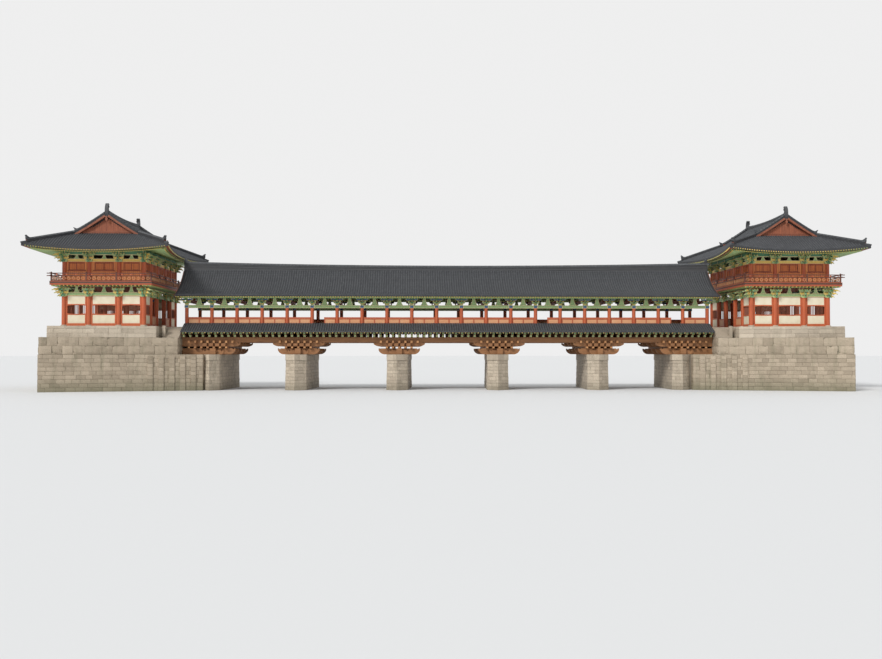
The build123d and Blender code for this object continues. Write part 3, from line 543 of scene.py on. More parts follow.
# Joists of the deck: square timbers across the girders, in two rows, whose ends carry painted caps.
# Between them small rafters hold the pent roof. All the ends are bright, over the dark girders.
def painted(name, base, dark):
    # Brushed mineral paint on wood, a little uneven, with fine cracks
    finish, place = start_finish(name)
    brush = place.noise(55.0, 5.0, 0.65)
    patch = place.noise(6.0, 3.0, 0.5)
    colour = (brush.between(0.3, 0.7) * 0.6 + place.tone() * 0.4).blend(dark, base)
    chip = place.noise(190.0, 4.0, 0.75).between(0.29, 0.25)
    colour = (chip * 0.6).blend(colour, (0.20, 0.12, 0.07))
    return close_finish(finish, colour, patch * 0.2 + 0.42, brush * 0.5 - chip, 0.0009)


paints = [
    painted("green_paint", (0.16, 0.36, 0.19), (0.07, 0.20, 0.11)),
    painted("cream_paint", (0.86, 0.74, 0.42), (0.70, 0.56, 0.28)),
    painted("pale_green_paint", (0.42, 0.55, 0.24), (0.27, 0.40, 0.17)),
    painted("blue_paint", (0.07, 0.17, 0.30), (0.04, 0.10, 0.20)),
    painted("yellow_paint", (0.88, 0.62, 0.16), (0.70, 0.44, 0.09)),
]
green, cream, pale, blue, yellow = range(5)
# Edge, border and field of most painted timbers
scheme = (green, cream, pale)
shadow_timber = timber(
    "shadow_timber", (0.16, 0.075, 0.035), (0.07, 0.035, 0.018), (0.11, 0.06, 0.03), (60.0, 6.0, 60.0), 0.6
)
dress(shadow_timber, "deck_joists")


def panel_box(size, inset, sunk, kinds):
    # A board whose two broad faces, towards -Y and +Y, have a painted border round a field
    shape = bmesh.new()
    bmesh.ops.create_cube(shape, size=1.0, matrix=sized(*size))
    for face in shape.faces:
        face.material_index = kinds[0]
    fields = [face for face in shape.faces if abs(face.normal.y) > 0.9]
    rings = bmesh.ops.inset_individual(shape, faces=fields, thickness=inset, depth=-sunk)["faces"]
    for face in rings:
        face.material_index = kinds[1]
    for face in fields:
        face.material_index = kinds[2]
    return as_mesh(shape)


walk_bay = 0.315
joist_pitch = walk_bay / 4
joist_places = [joist_pitch * (number - 42) for number in range(85)]
# Underside, top and reach from the middle of each row of ends
joist_rows = {"lower": (0.6635, 0.6855, 0.5465), "upper": (0.6945, 0.7195, 0.5935)}
joist_schemes = {"lower": scheme, "upper": (pale, yellow, green)}
pent_rafter_out, pent_rafter_level = 0.600, 0.7145
copies = Copies({
    row: panel_box((0.027, 0.012, top - low), 0.0035, 0.001, joist_schemes[row])
    for row, (low, top, out) in joist_rows.items()
} | {"rafter": panel_box((0.013, 0.07, 0.012), 0.0018, 0.0005, (green, cream, yellow))})
for face in faces.values():
    for place in joist_places:
        for row, (low, top, out) in joist_rows.items():
            copies.add(row, on_face(face, place, out, (low + top) / 2))
    for place in joist_places[:-1]:
        copies.add("rafter", on_face(face, place + joist_pitch / 2, pent_rafter_out, pent_rafter_level))
piece("joist_ends", copies, paints)

# Ends of the corbel timbers: sawn end grain with rings round the heart and a few radial cracks, set as thin
# caps on the cross beams and the blocks between them. Their paleness against the hewn sides is painted light.
lit_end_grain, place = start_finish("lit_end_grain")
rings = place.node(
    "ShaderNodeTexWave", {"wave_type": "RINGS", "rings_direction": "Y"},
    {"Vector": place, "Scale": 60.0, "Distortion": 3.0, "Detail": 3.0},
)
# Painted light: the paler colour of the ends stands for light falling on them; the rings are the real grain
colour = (rings * 0.4 + place.tone() * 0.6).blend((0.34, 0.15, 0.055), (0.62, 0.32, 0.13))
close_finish(lit_end_grain, colour, rings * 0.1 + 0.6, rings, 0.0008)
beam_pitch, beam_end = 0.077, 0.5405
# Height of an end, level of its middle, and beams on each side of the middle one
corbel_tiers = {"lower": (0.019, 0.5325, 2), "upper": (0.026, 0.6035, 3)}
beams_in_bank = 4
copies = Copies({
    tier: panel_box((0.024, 0.008, high), 0.003, 0.001, (0, 0, 0))
    for tier, (high, level, half) in corbel_tiers.items()
})
for place in [*pier_places, -abutment_place, abutment_place]:
    for face in faces.values():
        for tier, (high, level, half) in corbel_tiers.items():
            first = -beams_in_bank if place == -abutment_place else -half
            last = beams_in_bank if place == abutment_place else half
            for step in range(first, last + 1):
                copies.add(tier, on_face(face, place + step * beam_pitch, beam_end, level))
piece("corbel_ends", copies, [lit_end_grain])

# Roof tiles: charcoal clay. Rows of half-round cover tiles lie over the joints of shallow pan tiles, each
# tile lapping the one below it. Round tiles close the rows at the eaves. Boards show under the eaves.
charcoal, place = start_finish("charcoal_tiles")
ash = place.noise(130.0, 4.0, 0.7)
weather = place.noise(3.0, 4.0, 0.6)
colour = (place.tone() * 0.6 + weather * 0.4).blend((0.036, 0.038, 0.042), (0.074, 0.077, 0.081))
colour = (ash.between(0.56, 0.75) * 0.30).blend(colour, (0.15, 0.15, 0.14))
close_finish(charcoal, colour, ash * 0.25 + 0.42, ash, 0.0008)
under_tiles, place = start_finish("tile_bed")
ash = place.noise(90.0, 4.0, 0.7)
grain = place.stretched((40.0, 40.0, 8.0)).noise(1.0, 5.0, 0.6)
downward = place.node("ShaderNodeNewGeometry", {}, {}, "Normal").axis("Z") * -1.0
bed = ash.blend((0.018, 0.018, 0.02), (0.05, 0.05, 0.052))
board = grain.blend((0.16, 0.045, 0.02), (0.33, 0.09, 0.04))
close_finish(under_tiles, downward.between(0.1, 0.3).blend(bed, board), ash * 0.2 + 0.6, ash, 0.001)
dress(under_tiles, "skirt_roof", "walk_roof", "pavilion_roof")


def cone(sides, low, high, length, matrix):
    # A closed cone or cylinder along Z round the origin, and then moved
    shape = bmesh.new()
    bmesh.ops.create_cone(
        shape, cap_ends=True, segments=sides, radius1=low, radius2=high, depth=length, matrix=matrix
    )
    return shape


def cut_faces(shape, axis, least):
    # Takes away the faces that look along an axis
    gone = [face for face in shape.faces if face.normal[axis] > least]
    bmesh.ops.delete(shape, geom=gone, context="FACES")


def new_verts(made):
    return [part for part in made["geom"] if isinstance(part, bmesh.types.BMVert)]


def cover_tile(radius, length, slender=0.92):
    # Half-round, wider at its lower end, which lies at the origin, the row running up along +Y. It is open
    # below and at its upper end, where the next tile laps it
    shape = cone(8, radius, radius * slender, length, at(0, length / 2, 0) @ turned(-90, "X"))
    bmesh.ops.bisect_plane(
        shape, geom=shape.verts[:] + shape.edges[:] + shape.faces[:], dist=0.0001, plane_co=(0, 0, 0),
        plane_no=(0, 0, 1), clear_inner=True,
    )
    cut_faces(shape, 1, 0.5)
    for face in shape.faces:
        face.smooth = abs(face.normal.y) < 0.5
    return as_mesh(shape)


def pan_tile(width, length):
    # A shallow dish between two rows, with a lip at its lower end
    shape = bmesh.new()
    place = at(0, length / 2, 0) @ sized(width, length, 1)
    bmesh.ops.create_grid(shape, x_segments=2, y_segments=1, size=0.5, matrix=place)
    for vert in shape.verts:
        vert.co.z = 0.0030 if abs(vert.co.x) > width / 4 else 0.0002
        vert.co.z -= 0.0016 * vert.co.y / length
    lip = [edge for edge in shape.edges if all(vert.co.y < length / 4 for vert in edge.verts)]
    made = bmesh.ops.extrude_edge_only(shape, edges=lip)
    bmesh.ops.translate(shape, verts=new_verts(made), vec=(0, 0.001, -0.006))
    return as_mesh(shape, True)


def end_tile(radius):
    # The round face that closes a row of cover tiles, with a raised rim
    shape = cone(8, radius, radius, 0.006, turned(90, "X"))
    front = [face for face in shape.faces if face.normal.y < -0.9]
    cut_faces(shape, 1, 0.9)
    bmesh.ops.inset_region(shape, faces=front, thickness=radius * 0.2, depth=0)
    bmesh.ops.inset_region(shape, faces=front, thickness=radius * 0.08, depth=-0.0012)
    return as_mesh(shape)


def drip_tile(width, height):
    # The hanging lip that closes a row of pan tiles, rounded below
    shape = bmesh.new()
    bmesh.ops.create_circle(shape, cap_ends=True, segments=10, radius=width / 2, matrix=turned(90, "X"))
    for vert in shape.verts:
        vert.co.z *= 2 * height / width if vert.co.z < 0 else 0.12
    grown = bmesh.ops.extrude_face_region(shape, geom=shape.faces[:])
    bmesh.ops.translate(shape, verts=new_verts(grown), vec=(0, 0.005, 0.001))
    return as_mesh(shape)


def lay(origin, uphill):
    # A place whose +Y runs uphill and whose +Z stands square to the roof
    uphill = uphill.normalized()
    across = uphill.cross(Vector((0, 0, 1))).normalized()
    above = across.cross(uphill)
    return Matrix((
        (across.x, uphill.x, above.x, origin[0]),
        (across.y, uphill.y, above.y, origin[1]),
        (across.z, uphill.z, above.z, origin[2]),
        (0, 0, 0, 1),
    ))


def along_path(points, step, start=0.0):
    # Places and directions at even steps along a line of points
    left = start
    found = []
    for low, high in zip(points, points[1:]):
        run = (high - low).length
        while left <= run:
            found.append((low + (high - low) * left / run, high - low))
            left += step
        left -= run
    return found


tile_step = 0.034
tile_pitch = 0.03
tile_round = 0.0082
tile_units = {
    "cover": cover_tile(tile_round, tile_step * 1.12),
    "pan": pan_tile(tile_pitch, tile_step * 1.1),
    "disc": end_tile(tile_round * 1.08),
    "drip": drip_tile(tile_pitch * 0.86, 0.013),
}


def lay_pans(copies, points):
    # One row of pan tiles up a line of points, closed by a drip tile
    for place, run in along_path(points, tile_step, tile_step * 0.35):
        copies.add("pan", lay(place, run))
    run = points[1] - points[0]
    level = Vector((run.x, run.y, 0)).normalized()
    copies.add("drip", lay(points[0] - level * 0.004, level))


def lay_row(copies, points):
    # One row of cover tiles up a line of points and its round end
    places = along_path(points, tile_step)
    for place, run in places:
        copies.add("cover", lay(place, run))
    place, run = places[0]
    level = Vector((run.x, run.y, run.z * 0.4))
    copies.add("disc", lay(place + Vector((0, 0, 0.0012)) - level.normalized() * 0.002, level))


def surface_of(name):
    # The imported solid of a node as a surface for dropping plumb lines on
    shape = bmesh.new()
    shape.from_mesh(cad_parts[name].data)
    tree = BVHTree.FromBMesh(shape)
    shape.free()
    return tree


def drop(tree, x, y, height=4.0, down=-1):
    # Where a plumb line from a height meets the surface
    return tree.ray_cast(Vector((x, y, height)), Vector((0, 0, down)))[0]


# Roof of the walk and the pent roofs below its rail: straight rows of tiles on both sides, from the ridge
# or the kerb under the rail down to the eaves, laid on boards over the rafters.
def straight_roof(name, tree, length, eave, run, parts):
    # Tiles on both slopes. Gives the profile of the front slope, from the eaves up
    profile = [drop(tree, 0.1, eave + run * part / parts) for part in range(parts + 1)]
    rows = int(length / tile_pitch)
    for face_name, face in faces.items():
        copies = Copies(tile_units)
        for number in range(rows + 1):
            place = (number - rows / 2) * tile_pitch
            lay_row(copies, [Vector((place, -face * point.y, point.z)) for point in profile])
            if number < rows:
                place += tile_pitch / 2
                lay_pans(copies, [Vector((place, -face * point.y, point.z)) for point in profile])
        piece(f"{name}_{face_name}", copies, [charcoal])
    return profile


walk_end, skirt_end = 3.43, 3.3335
walk_tree = surface_of("walk_roof")
walk_profile = straight_roof("walk_tiles", walk_tree, 2 * (walk_end - 0.03), -0.554, 0.532, 24)
straight_roof("pent_tiles", surface_of("skirt_roof_front"), 2 * (skirt_end - 0.012), -0.639, 0.214, 8)

# Pavilion roofs: the lower roof has rows square to each eave, which end beside the hips. In the middle of
# the long sides the upper, gabled part rises to the ridge, and its rows run down into those below.
gable_half, gable_wall = 0.38, 0.695
eave_x, eave_y, eave_tip = 0.77, 1.085, 0.09
corner_x, corner_y = eave_x + eave_tip, eave_y + eave_tip
ridge_half = 0.72
centre = 4.22
hip_clear = 0.032
least_row = 0.03
roof_tree = surface_of("pavilion_roof_right")


def pavilion_piece(name, copies, finishes, stands_for=""):
    # The same piece on both pavilions. Its places are counted from the middle of a pavilion
    for side_name, side in banks.items():
        replaced = [f"{stands_for}_{side_name}"] if stands_for else []
        piece(f"{name}_{side_name}", copies.moved(side * centre), finishes, replaced)


def arc_bow(half, middle, spot):
    # How far an eave that bows from its middle to its tips stands out at a spot along it
    return middle + eave_tip * (spot / half) ** 2


def roof_line(outer, inner):
    # Points of the roof between two spots in plan, up to where it ends or jumps
    steps = max(3, int((outer - inner).length / 0.03))
    line = []
    for step in range(steps + 1):
        spot = outer.lerp(inner, step / steps)
        hit = drop(roof_tree, centre + spot.x, spot.y)
        if hit is None or (line and abs(hit.z - line[-1].z) > 0.05):
            break
        line.append(hit - Vector((centre, 0, 0)))
    return line


copies = Copies(tile_units)
for end in (-1, 1):
    # Half length and reach of a side, and where its rows stop: in the middle of it and beside the hips
    for long_side, half, edge, middle_half, middle_stop, corner, stop in (
        (False, corner_x, eave_y, gable_half + 0.01, ridge_half + 0.003, gable_half, gable_wall),
        (True, corner_y, eave_x, ridge_half - 0.035, 0.022, gable_wall, gable_half),
    ):
        count = int((half - 0.03) / tile_pitch)
        for number in range(-count, count + 1):
            for shift, lay_tiles in ((0, lay_row), (0.5, lay_pans)):
                spot = (number + shift) * tile_pitch
                outer = arc_bow(half, edge, spot) - 0.004
                inner = stop + max(abs(spot) - corner, 0) + hip_clear
                if abs(spot) < middle_half:
                    inner = middle_stop
                if outer - inner > least_row:
                    ends = [(end * out, spot) if long_side else (spot, end * out) for out in (outer, inner)]
                    line = roof_line(*map(Vector, ends))
                    if len(line) > 1:
                        lay_tiles(copies, line)
pavilion_piece("pavilion_tiles", copies, [charcoal])

# Ridges: a core of clay and plaster between courses of thin flat tiles, closed by round tiles along the
# top. The curled ends of the main ridges are moulded in grey plaster, with fins and an eye.
ridge_plaster, place = start_finish("ridge_plaster")
ash = place.noise(70.0, 5.0, 0.7)
courses = (place.axis("Z") * 600.0).math("SINE")
colour = ash.blend((0.045, 0.046, 0.05), (0.12, 0.12, 0.12))
colour = courses.between(0.6, 1.0).blend(colour, (0.02, 0.02, 0.022))
close_finish(ridge_plaster, colour, ash * 0.2 + 0.6, ash - courses * 0.5, 0.0014)
dress(ridge_plaster, "walk_ridge", "pavilion_ridge")


def bar_unit(kind=0, round_edge=0.0):
    # A unit cube round the origin, with softened edges if they are given
    shape = bmesh.new()
    bmesh.ops.create_cube(shape, size=1.0)
    for face in shape.faces:
        face.material_index = kind
    if round_edge:
        soften(shape, shape.edges[:], round_edge)
    return as_mesh(shape)


def profile_unit(points, thickness, kinds=(0, 0, 0), border=0.0, sunk=0.0):
    # A board cut to an outline that lies along Y and Z, with a painted border on its two faces
    shape = bmesh.new()
    outline = shape.faces.new([shape.verts.new((-thickness / 2, y, z)) for y, z in points])
    grown = bmesh.ops.extrude_face_region(shape, geom=[outline])
    bmesh.ops.translate(shape, verts=new_verts(grown), vec=(thickness, 0, 0))
    bmesh.ops.recalc_face_normals(shape, faces=shape.faces)
    for face in shape.faces:
        face.material_index = kinds[0]
    fields = [face for face in shape.faces if abs(face.normal.x) > 0.9]
    if border:
        for face in bmesh.ops.inset_individual(shape, faces=fields, thickness=border, depth=-sunk)["faces"]:
            face.material_index = kinds[1]
        for face in fields:
            face.material_index = kinds[2]
    return as_mesh(shape)


ridge_step = 0.045
ridge_lap = ridge_step * 1.08
flat_course = bar_unit()
# An upturned tip with a small scroll, at the ends of the walk's ridge and the feet of the other ridges
tip_unit = profile_unit([
    (0.0, 0.0), (0.10, 0.0), (0.10, 0.02), (0.055, 0.028), (0.03, 0.05), (0.012, 0.072), (0.0, 0.062),
    (0.008, 0.045), (0.0, 0.03),
], 0.036)


def ridge_run(copies, cover, points, depths, width):
    # Thin courses that stand out from both sides of a ridge, and a row of round tiles on its crest
    course = sized(width + 0.008, ridge_step - 0.0012, 0.0045)
    for place, run in along_path(points, ridge_step):
        seat = lay(place, run)
        for depth in depths:
            copies.add("flat", seat @ at(0, ridge_step / 2, -depth) @ course)
        copies.add(cover, seat)


def arc_points(start, middle, end, count):
    # Points of a shallow arc through three points
    return [
        start * (1 - t) * (1 - 2 * t) + middle * 4 * t * (1 - t) + end * t * (2 * t - 1)
        for t in (number / count for number in range(count + 1))
    ]


copies = Copies({"flat": flat_course, "crest": cover_tile(0.023, ridge_lap, 0.97), "tip": tip_unit})
crest = arc_points(Vector((-walk_end, 0, 1.63)), Vector((0, 0, 1.585)), Vector((walk_end, 0, 1.63)), 60)
ridge_run(copies, "crest", crest, (0.003, 0.018, 0.045), 0.044)
for end in (-1, 1):
    copies.add("tip", at(end * (walk_end - 0.002), 0, 1.628) @ turned(end * 90))
piece("walk_ridge_tiles", copies, [charcoal])

gable_base, ridge_top = 1.93, 2.16
hip_lift, verge_lift = 0.028, 0.0305
hip_start = Vector((gable_half, gable_wall, gable_base))
hip_end = Vector((corner_x, corner_y, 1.765))
verge_start = Vector((gable_half, 0, gable_base))
verge_middle = Vector(((gable_half + 0.02) / 2, 0, (gable_base + ridge_top) / 2 - 0.006))
verge_end = Vector((0.02, 0, ridge_top))


def verge_slope(x, count):
    # The sagging line of one slope of a gable, from its foot to the ridge
    return arc_points(*(point * Vector((x, 1, 1)) for point in (verge_start, verge_middle, verge_end)), count)


copies = Copies({
    "flat": flat_course, "round": cover_tile(0.016, ridge_lap, 0.97), "tip": tip_unit,
    "crest": cover_tile(0.021, ridge_lap, 0.97), "fin": bar_unit(0, 0.1), "eye": end_tile(0.012),
})
for x in (-1, 1):
    for y in (-1, 1):
        low, high = (point * Vector((x, y, 1)) for point in (hip_end, hip_start))
        run = (high - low).normalized()
        square = lay(low, run).to_3x3() @ Vector((0, 0, 1))
        start = low + run * 0.07
        hip = [start + square * hip_lift, high + square * hip_lift]
        ridge_run(copies, "round", hip, (0.003, 0.018), 0.03)
        copies.add("tip", lay(start + square * 0.024, run) @ sized(0.8, 0.75, 0.8))
        copies.add("flat", lay(low + run * 0.035 + square * 0.004, run) @ sized(0.026, 0.07, 0.022))
        lift = Vector((0, y * (ridge_half - 0.014), verge_lift))
        slope = [point + lift for point in verge_slope(x, 12)]
        ridge_run(copies, "round", slope, (0.003, 0.018), 0.028)
        foot = slope[0] - Vector((0, 0, 0.004))
        copies.add("tip", lay(foot, slope[1] - slope[0]) @ sized(0.75, 0.6, 0.75))
crest = arc_points(Vector((0, -0.66, 2.205)), Vector((0, 0, 2.185)), Vector((0, 0.66, 2.205)), 30)
ridge_run(copies, "crest", crest, (0.003, 0.016), 0.04)
# Reach and level of each fin on the curled ends
fins = [(0.722, 2.235), (0.719, 2.252), (0.713, 2.269), (0.705, 2.285)]
for y in (-1, 1):
    for number, (reach, level) in enumerate(fins):
        lean = Matrix.Rotation(y * 0.5, 4, "X")
        copies.add("fin", at(0, y * reach, level) @ lean @ sized(0.044, 0.012 - 0.001 * number, 0.009))
    for face in faces.values():
        copies.add("eye", at(face * 0.021, y * 0.695, 2.262) @ turned(face * 90))
pavilion_piece("pavilion_ridge_tiles", copies, [charcoal])

# Gables of the pavilion roofs: upright tongued boards behind a curved verge board on each slope, a foot
# beam, and a carved pendant where the verge boards meet.
gable_boards = timber(
    "gable_boards", (0.42, 0.13, 0.06), (0.20, 0.055, 0.028), (0.27, 0.11, 0.06), (60.0, 60.0, 5.0), 0.6
)
verge_timber = timber(
    "verge_timber", (0.36, 0.12, 0.06), (0.17, 0.05, 0.026), (0.24, 0.10, 0.055), (30.0, 30.0, 30.0), 0.55
)
pendant_half = [(0.013, -0.012), (0.009, -0.026), (0.018, -0.040), (0.008, -0.056)]
pendant = [(0.0, 0.0), *pendant_half, (0.0, -0.070), *[(-y, z) for y, z in reversed(pendant_half)]]
board_pitch, board_width, board_thick = 0.0215, 0.0198, 0.006
boards_half, least_board = 0.345, 0.012
board_face, foot_face, pendant_face = -0.682, -0.684, -0.728
boards_top, boards_fall, boards_sag = 2.13, 0.16, 0.035
verge_lap = 1.06
copies = Copies({
    "board": bar_unit(), "strip": bar_unit(1, 0.05), "pendant": profile_unit(pendant, 0.006, (1, 1, 1)),
})
for y in (-1, 1):
    copies.stand = turned(180 if y > 0 else 0)
    for number in range(-16, 17):
        place = number * board_pitch
        share = abs(place) / boards_half
        top = boards_top - boards_fall * share - boards_sag * math.sin(math.pi * share)
        high = top - gable_base
        if high > least_board:
            middle = at(place, board_face, (top + gable_base) / 2)
            copies.add("board", middle @ sized(board_width, board_thick, high))
    for x in (-1, 1):
        slope = verge_slope(x, 14)
        for low, high in zip(slope, slope[1:]):
            run = high - low
            middle = (low + high) / 2 + Vector((0, -ridge_half - 0.001, -0.013))
            lean = Matrix.Rotation(-math.atan2(run.z, run.x), 4, "Y")
            copies.add("strip", at(*middle) @ lean @ sized(run.length * verge_lap, 0.006, 0.026))
            middle += Vector((0, -0.002, -0.010))
            copies.add("strip", at(*middle) @ lean @ sized(run.length * verge_lap, 0.006, 0.005))
    for level, deep in ((1.938, 0.016), (1.956, 0.010)):
        copies.add("strip", at(0, foot_face, level) @ sized(0.70, deep, 0.012))
    copies.add("pendant", at(0, pendant_face, 2.148) @ turned(90))
pavilion_piece("gable_boards", copies, [gable_boards, verge_timber])

# Verge boards of the walk's roof: one curved brown plank on each slope at both ends, nailed to the ends
# of the purlins under the last row of tiles.
copies = Copies({"strip": bar_unit(0, 0.05)})
for face in faces.values():
    for end in (-1, 1):
        for low, high in zip(walk_profile, walk_profile[1:]):
            run = high - low
            lean = Matrix.Rotation(math.atan2(run.z, run.y), 4, "X")
            middle = (low + high) / 2
            spot = turned(180 if face > 0 else 0) @ at(end * (walk_end + 0.001), middle.y, middle.z - 0.024)
            copies.add("strip", spot @ lean @ sized(0.006, run.length * 1.08, 0.046))
piece("walk_verges", copies, [verge_timber])


# Rafters: round ones run out from the walls and spread like a fan at the corners; square flying rafters
# lie on their ends and hold the edge of the eave. Their ends are painted yellow, green and cream.
def rod_unit(sides, body):
    # A rod one unit long and wide from the origin along +Y, with yellow ends
    squared = sized(1.414, 1, 1.414) @ turned(45, "Y") if sides == 4 else Matrix()
    shape = cone(sides, 0.5, 0.5, 1.0, at(0, 0.5, 0) @ squared @ turned(-90, "X"))
    for face in shape.faces:
        face.material_index = yellow if abs(face.normal.y) > 0.9 else body
        face.smooth = sides > 4 and abs(face.normal.y) < 0.5
    return as_mesh(shape)


def rod(start, end, width):
    run = end - start
    return lay(start, run) @ sized(width, run.length, width)


square_rod = rod_unit(4, pale)
rafter_pitch = 0.0303
round_width, square_width, square_proud = 0.0135, 0.0115, 0.014
copies = Copies({"round": rod_unit(8, pale), "square": square_rod})
# Half length and reach of a side, and reach and half length of the wall that holds its rafters
for long_side, half, edge, wall, wall_half in (
    (False, corner_x, eave_y, 0.815, 0.485), (True, corner_y, eave_x, 0.50, 0.80)
):
    count = int((half - 0.04) / rafter_pitch)
    for end in (-1, 1):
        for number in range(-count, count + 1):
            along = number * rafter_pitch
            reach = arc_bow(half, edge, along)
            held = max(-wall_half, min(wall_half, along))
            points = []
            # Reach and depth under the roof of both ends of the round rafter and of the flying one
            for out, sink in (
                (reach - 0.055, 0.019), (wall, 0.008), (reach - 0.12, 0.004), (reach - 0.010, -0.0085)
            ):
                spot = held + (along - held) * (out - wall) / (reach - wall)
                x, y = (end * out, spot) if long_side else (spot, end * out)
                points.append(Vector((x, y, drop(roof_tree, centre + x, y, 1.5, 1).z - sink)))
            tail, head, heel, tip = points
            copies.add("round", rod(tail, head, round_width))
            copies.add("square", rod(tip + (tip - heel).normalized() * square_proud, heel, square_width))
pavilion_piece("pavilion_rafters", copies, paints)

# The walk's rafters follow the underside of its roof in three straight lengths, from the eaves to the ridge
walk_rafter_pitch, walk_rafter_width, walk_rafter_sink = 0.031, 0.013, 0.0068
copies = Copies({"rafter": rod_unit(4, green)})
for face in faces.values():
    for number in range(-110, 111):
        x = number * walk_rafter_pitch
        spots = [drop(walk_tree, x, face * reach, 0.9, 1) for reach in (0.548, 0.415, 0.21, 0.012)]
        for low, high in zip(spots, spots[1:]):
            copies.add("rafter", at(0, 0, -walk_rafter_sink) @ rod(low, high, walk_rafter_width))
piece("walk_rafters", copies, paints)


# Bracket sets: bow-shaped arms and bearing blocks stacked on each column head, with carved beaks that
# reach out under the eaves, and leaf-shaped blocks between them, on a lintel painted in long panels.
def bow_arm(length, height, kinds):
    # An arm along Y whose underside curves up to both ends
    half = [(-0.50, 1.0), (-0.50, 0.52), (-0.47, 0.28), (-0.42, 0.10), (-0.34, 0.0)]
    outline = half + [(-y, z) for y, z in reversed(half)]
    return profile_unit([(y * length, z * height) for y, z in outline], 0.014, kinds, 0.0028, 0.0008)


def beak_arm(reach, height, kinds):
    # A beak-shaped arm that reaches out towards -Y with a curled tip
    outline = [
        (0.0, 0.0), (-0.55, 0.0), (-0.72, 0.16), (-0.86, 0.10), (-1.0, -0.10), (-1.03, 0.12),
        (-0.96, 0.42), (-0.84, 0.62), (-0.86, 0.86), (-0.76, 1.0), (0.0, 1.0),
    ]
    return profile_unit([(y * reach, z * height) for y, z in outline], 0.0165, kinds, 0.0028, 0.0008)


def leaf_block(width, height):
    # A carved block with a broad foot, hollow sides and a narrow head, seen square on
    half = [(-0.50, 0.0), (-0.40, 0.12), (-0.29, 0.30), (-0.22, 0.55), (-0.17, 0.80), (-0.17, 1.0)]
    outline = half + [(-y, z) for y, z in reversed(half)]
    return profile_unit([(y * width, z * height) for y, z in outline], 0.016, scheme, 0.004, 0.001)


def bearing_block(width, height, depth):
    # A block whose lower half narrows
    shape = bmesh.new()
    bmesh.ops.create_cube(shape, size=1.0)
    middle = [edge for edge in shape.edges if abs(edge.verts[0].co.z - edge.verts[1].co.z) > 0.5]
    bmesh.ops.subdivide_edges(shape, edges=middle, cuts=1)
    for vert in shape.verts:
        narrow = 0.68 if vert.co.z < -0.4 else 1.0
        vert.co = (vert.co.x * width * narrow, vert.co.y * depth * narrow, (vert.co.z + 0.5) * height)
    for face in shape.faces:
        face.material_index = yellow if face.calc_center_median().z > height / 2 else pale
    return as_mesh(shape)


def bracket_units(height, spread, reaches, leaf):
    # The shapes of one frieze, each with its share of the height
    units = {
        "low": bow_arm(spread * 0.62, height * 0.20, scheme),
        "high": bow_arm(spread, height * 0.20, (green, cream, blue)),
        "block": bearing_block(0.017, height * 0.12, 0.022),
        "seat": bearing_block(0.046, height * 0.20, 0.034),
        "leaf": leaf_block(leaf, height),
    }
    for number, reach in enumerate(reaches):
        units[f"beak_{number}"] = beak_arm(reach, height * 0.225, scheme)
    return units


def set_brackets(copies, seat, height, spread):
    # One bracket set at a place on the wall line, facing -Y. Levels are shares of its height
    def add(name, share, level, turn=0):
        copies.add(name, seat @ at(share * spread, 0, level * height) @ turned(turn))

    add("seat", 0, 0)
    add("low", 0, 0.20, 90)
    add("high", 0, 0.52, 90)
    for level, shares in ((0.40, (-0.26, 0, 0.26)), (0.72, (-0.45, -0.225, 0, 0.225, 0.45))):
        for share in shares:
            add("block", share, level)
    add("beak_0", 0, 0.18)
    add("beak_1", 0, 0.53)


column_places = [walk_bay * (number - 10.5) for number in range(22)]
walk_row = 0.395
walk_seat, lintel_middle, purlin_middle = 1.067, 1.0485, 1.201
# Height and width of a bracket set
walk_set = (0.113, 0.155)
walk_units = bracket_units(*walk_set, (0.062, 0.093), 0.092) | {
    "field": panel_box((0.262, 0.034, 0.037), 0.005, 0.0008, scheme),
    "knot": panel_box((0.0535, 0.035, 0.038), 0.006, 0.0008, (yellow, cream, blue)),
}
purlin_units = {
    "field": panel_box((0.250, 0.034, 0.044), 0.006, 0.0008, (green, cream, green)),
    "knot": panel_box((0.0655, 0.035, 0.045), 0.006, 0.0008, (cream, yellow, blue)),
}
for face_name, face in faces.items():
    copies = Copies(walk_units)
    purlin = Copies(purlin_units)
    for place in column_places:
        set_brackets(copies, on_face(face, place, walk_row, walk_seat), *walk_set)
        copies.add("knot", on_face(face, place, walk_row, lintel_middle))
        purlin.add("knot", on_face(face, place, walk_row, purlin_middle))
    for place in column_places[:-1]:
        middle = place + walk_bay / 2
        copies.add("leaf", on_face(face, middle, walk_row, walk_seat) @ turned(90))
        copies.add("field", on_face(face, middle, walk_row, lintel_middle))
        purlin.add("field", on_face(face, middle, walk_row, purlin_middle))
    piece(f"walk_brackets_{face_name}", copies, paints, [f"walk_frieze_{face_name}"])
    piece(f"walk_beam_{face_name}", purlin, paints)
dress(paints[pale], "walk_purlin")

half_x, half_y = 0.48, 0.795
narrow_lines = [-half_x, -0.18, 0.18, half_x]
broad_lines = [-half_y, -0.495, -0.195, 0.195, 0.495, half_y]


def bays_between(lines, uses):
    # Middle, width and use of each bay between the columns of a face
    bays = zip(lines, lines[1:], uses)
    return [((low + high) / 2, round(high - low, 3), use) for low, high, use in bays]


narrow_bays = bays_between(narrow_lines, ["wall"] * 3)
broad_bays = bays_between(broad_lines, ["wall", "rail", "passage", "rail", "wall"])
bay_widths = sorted({width for middle, width, use in narrow_bays + broad_bays})


def faces_round():
    # Each face of a pavilion, turned to face -Y, with its bays and column lines
    for angle, reach, bays, lines in (
        (0, half_y, narrow_bays, narrow_lines), (180, half_y, narrow_bays, narrow_lines),
        (90, half_x, broad_bays, broad_lines), (-90, half_x, broad_bays, broad_lines),
    ):
        yield turned(angle) @ at(0, -reach, 0), bays, lines


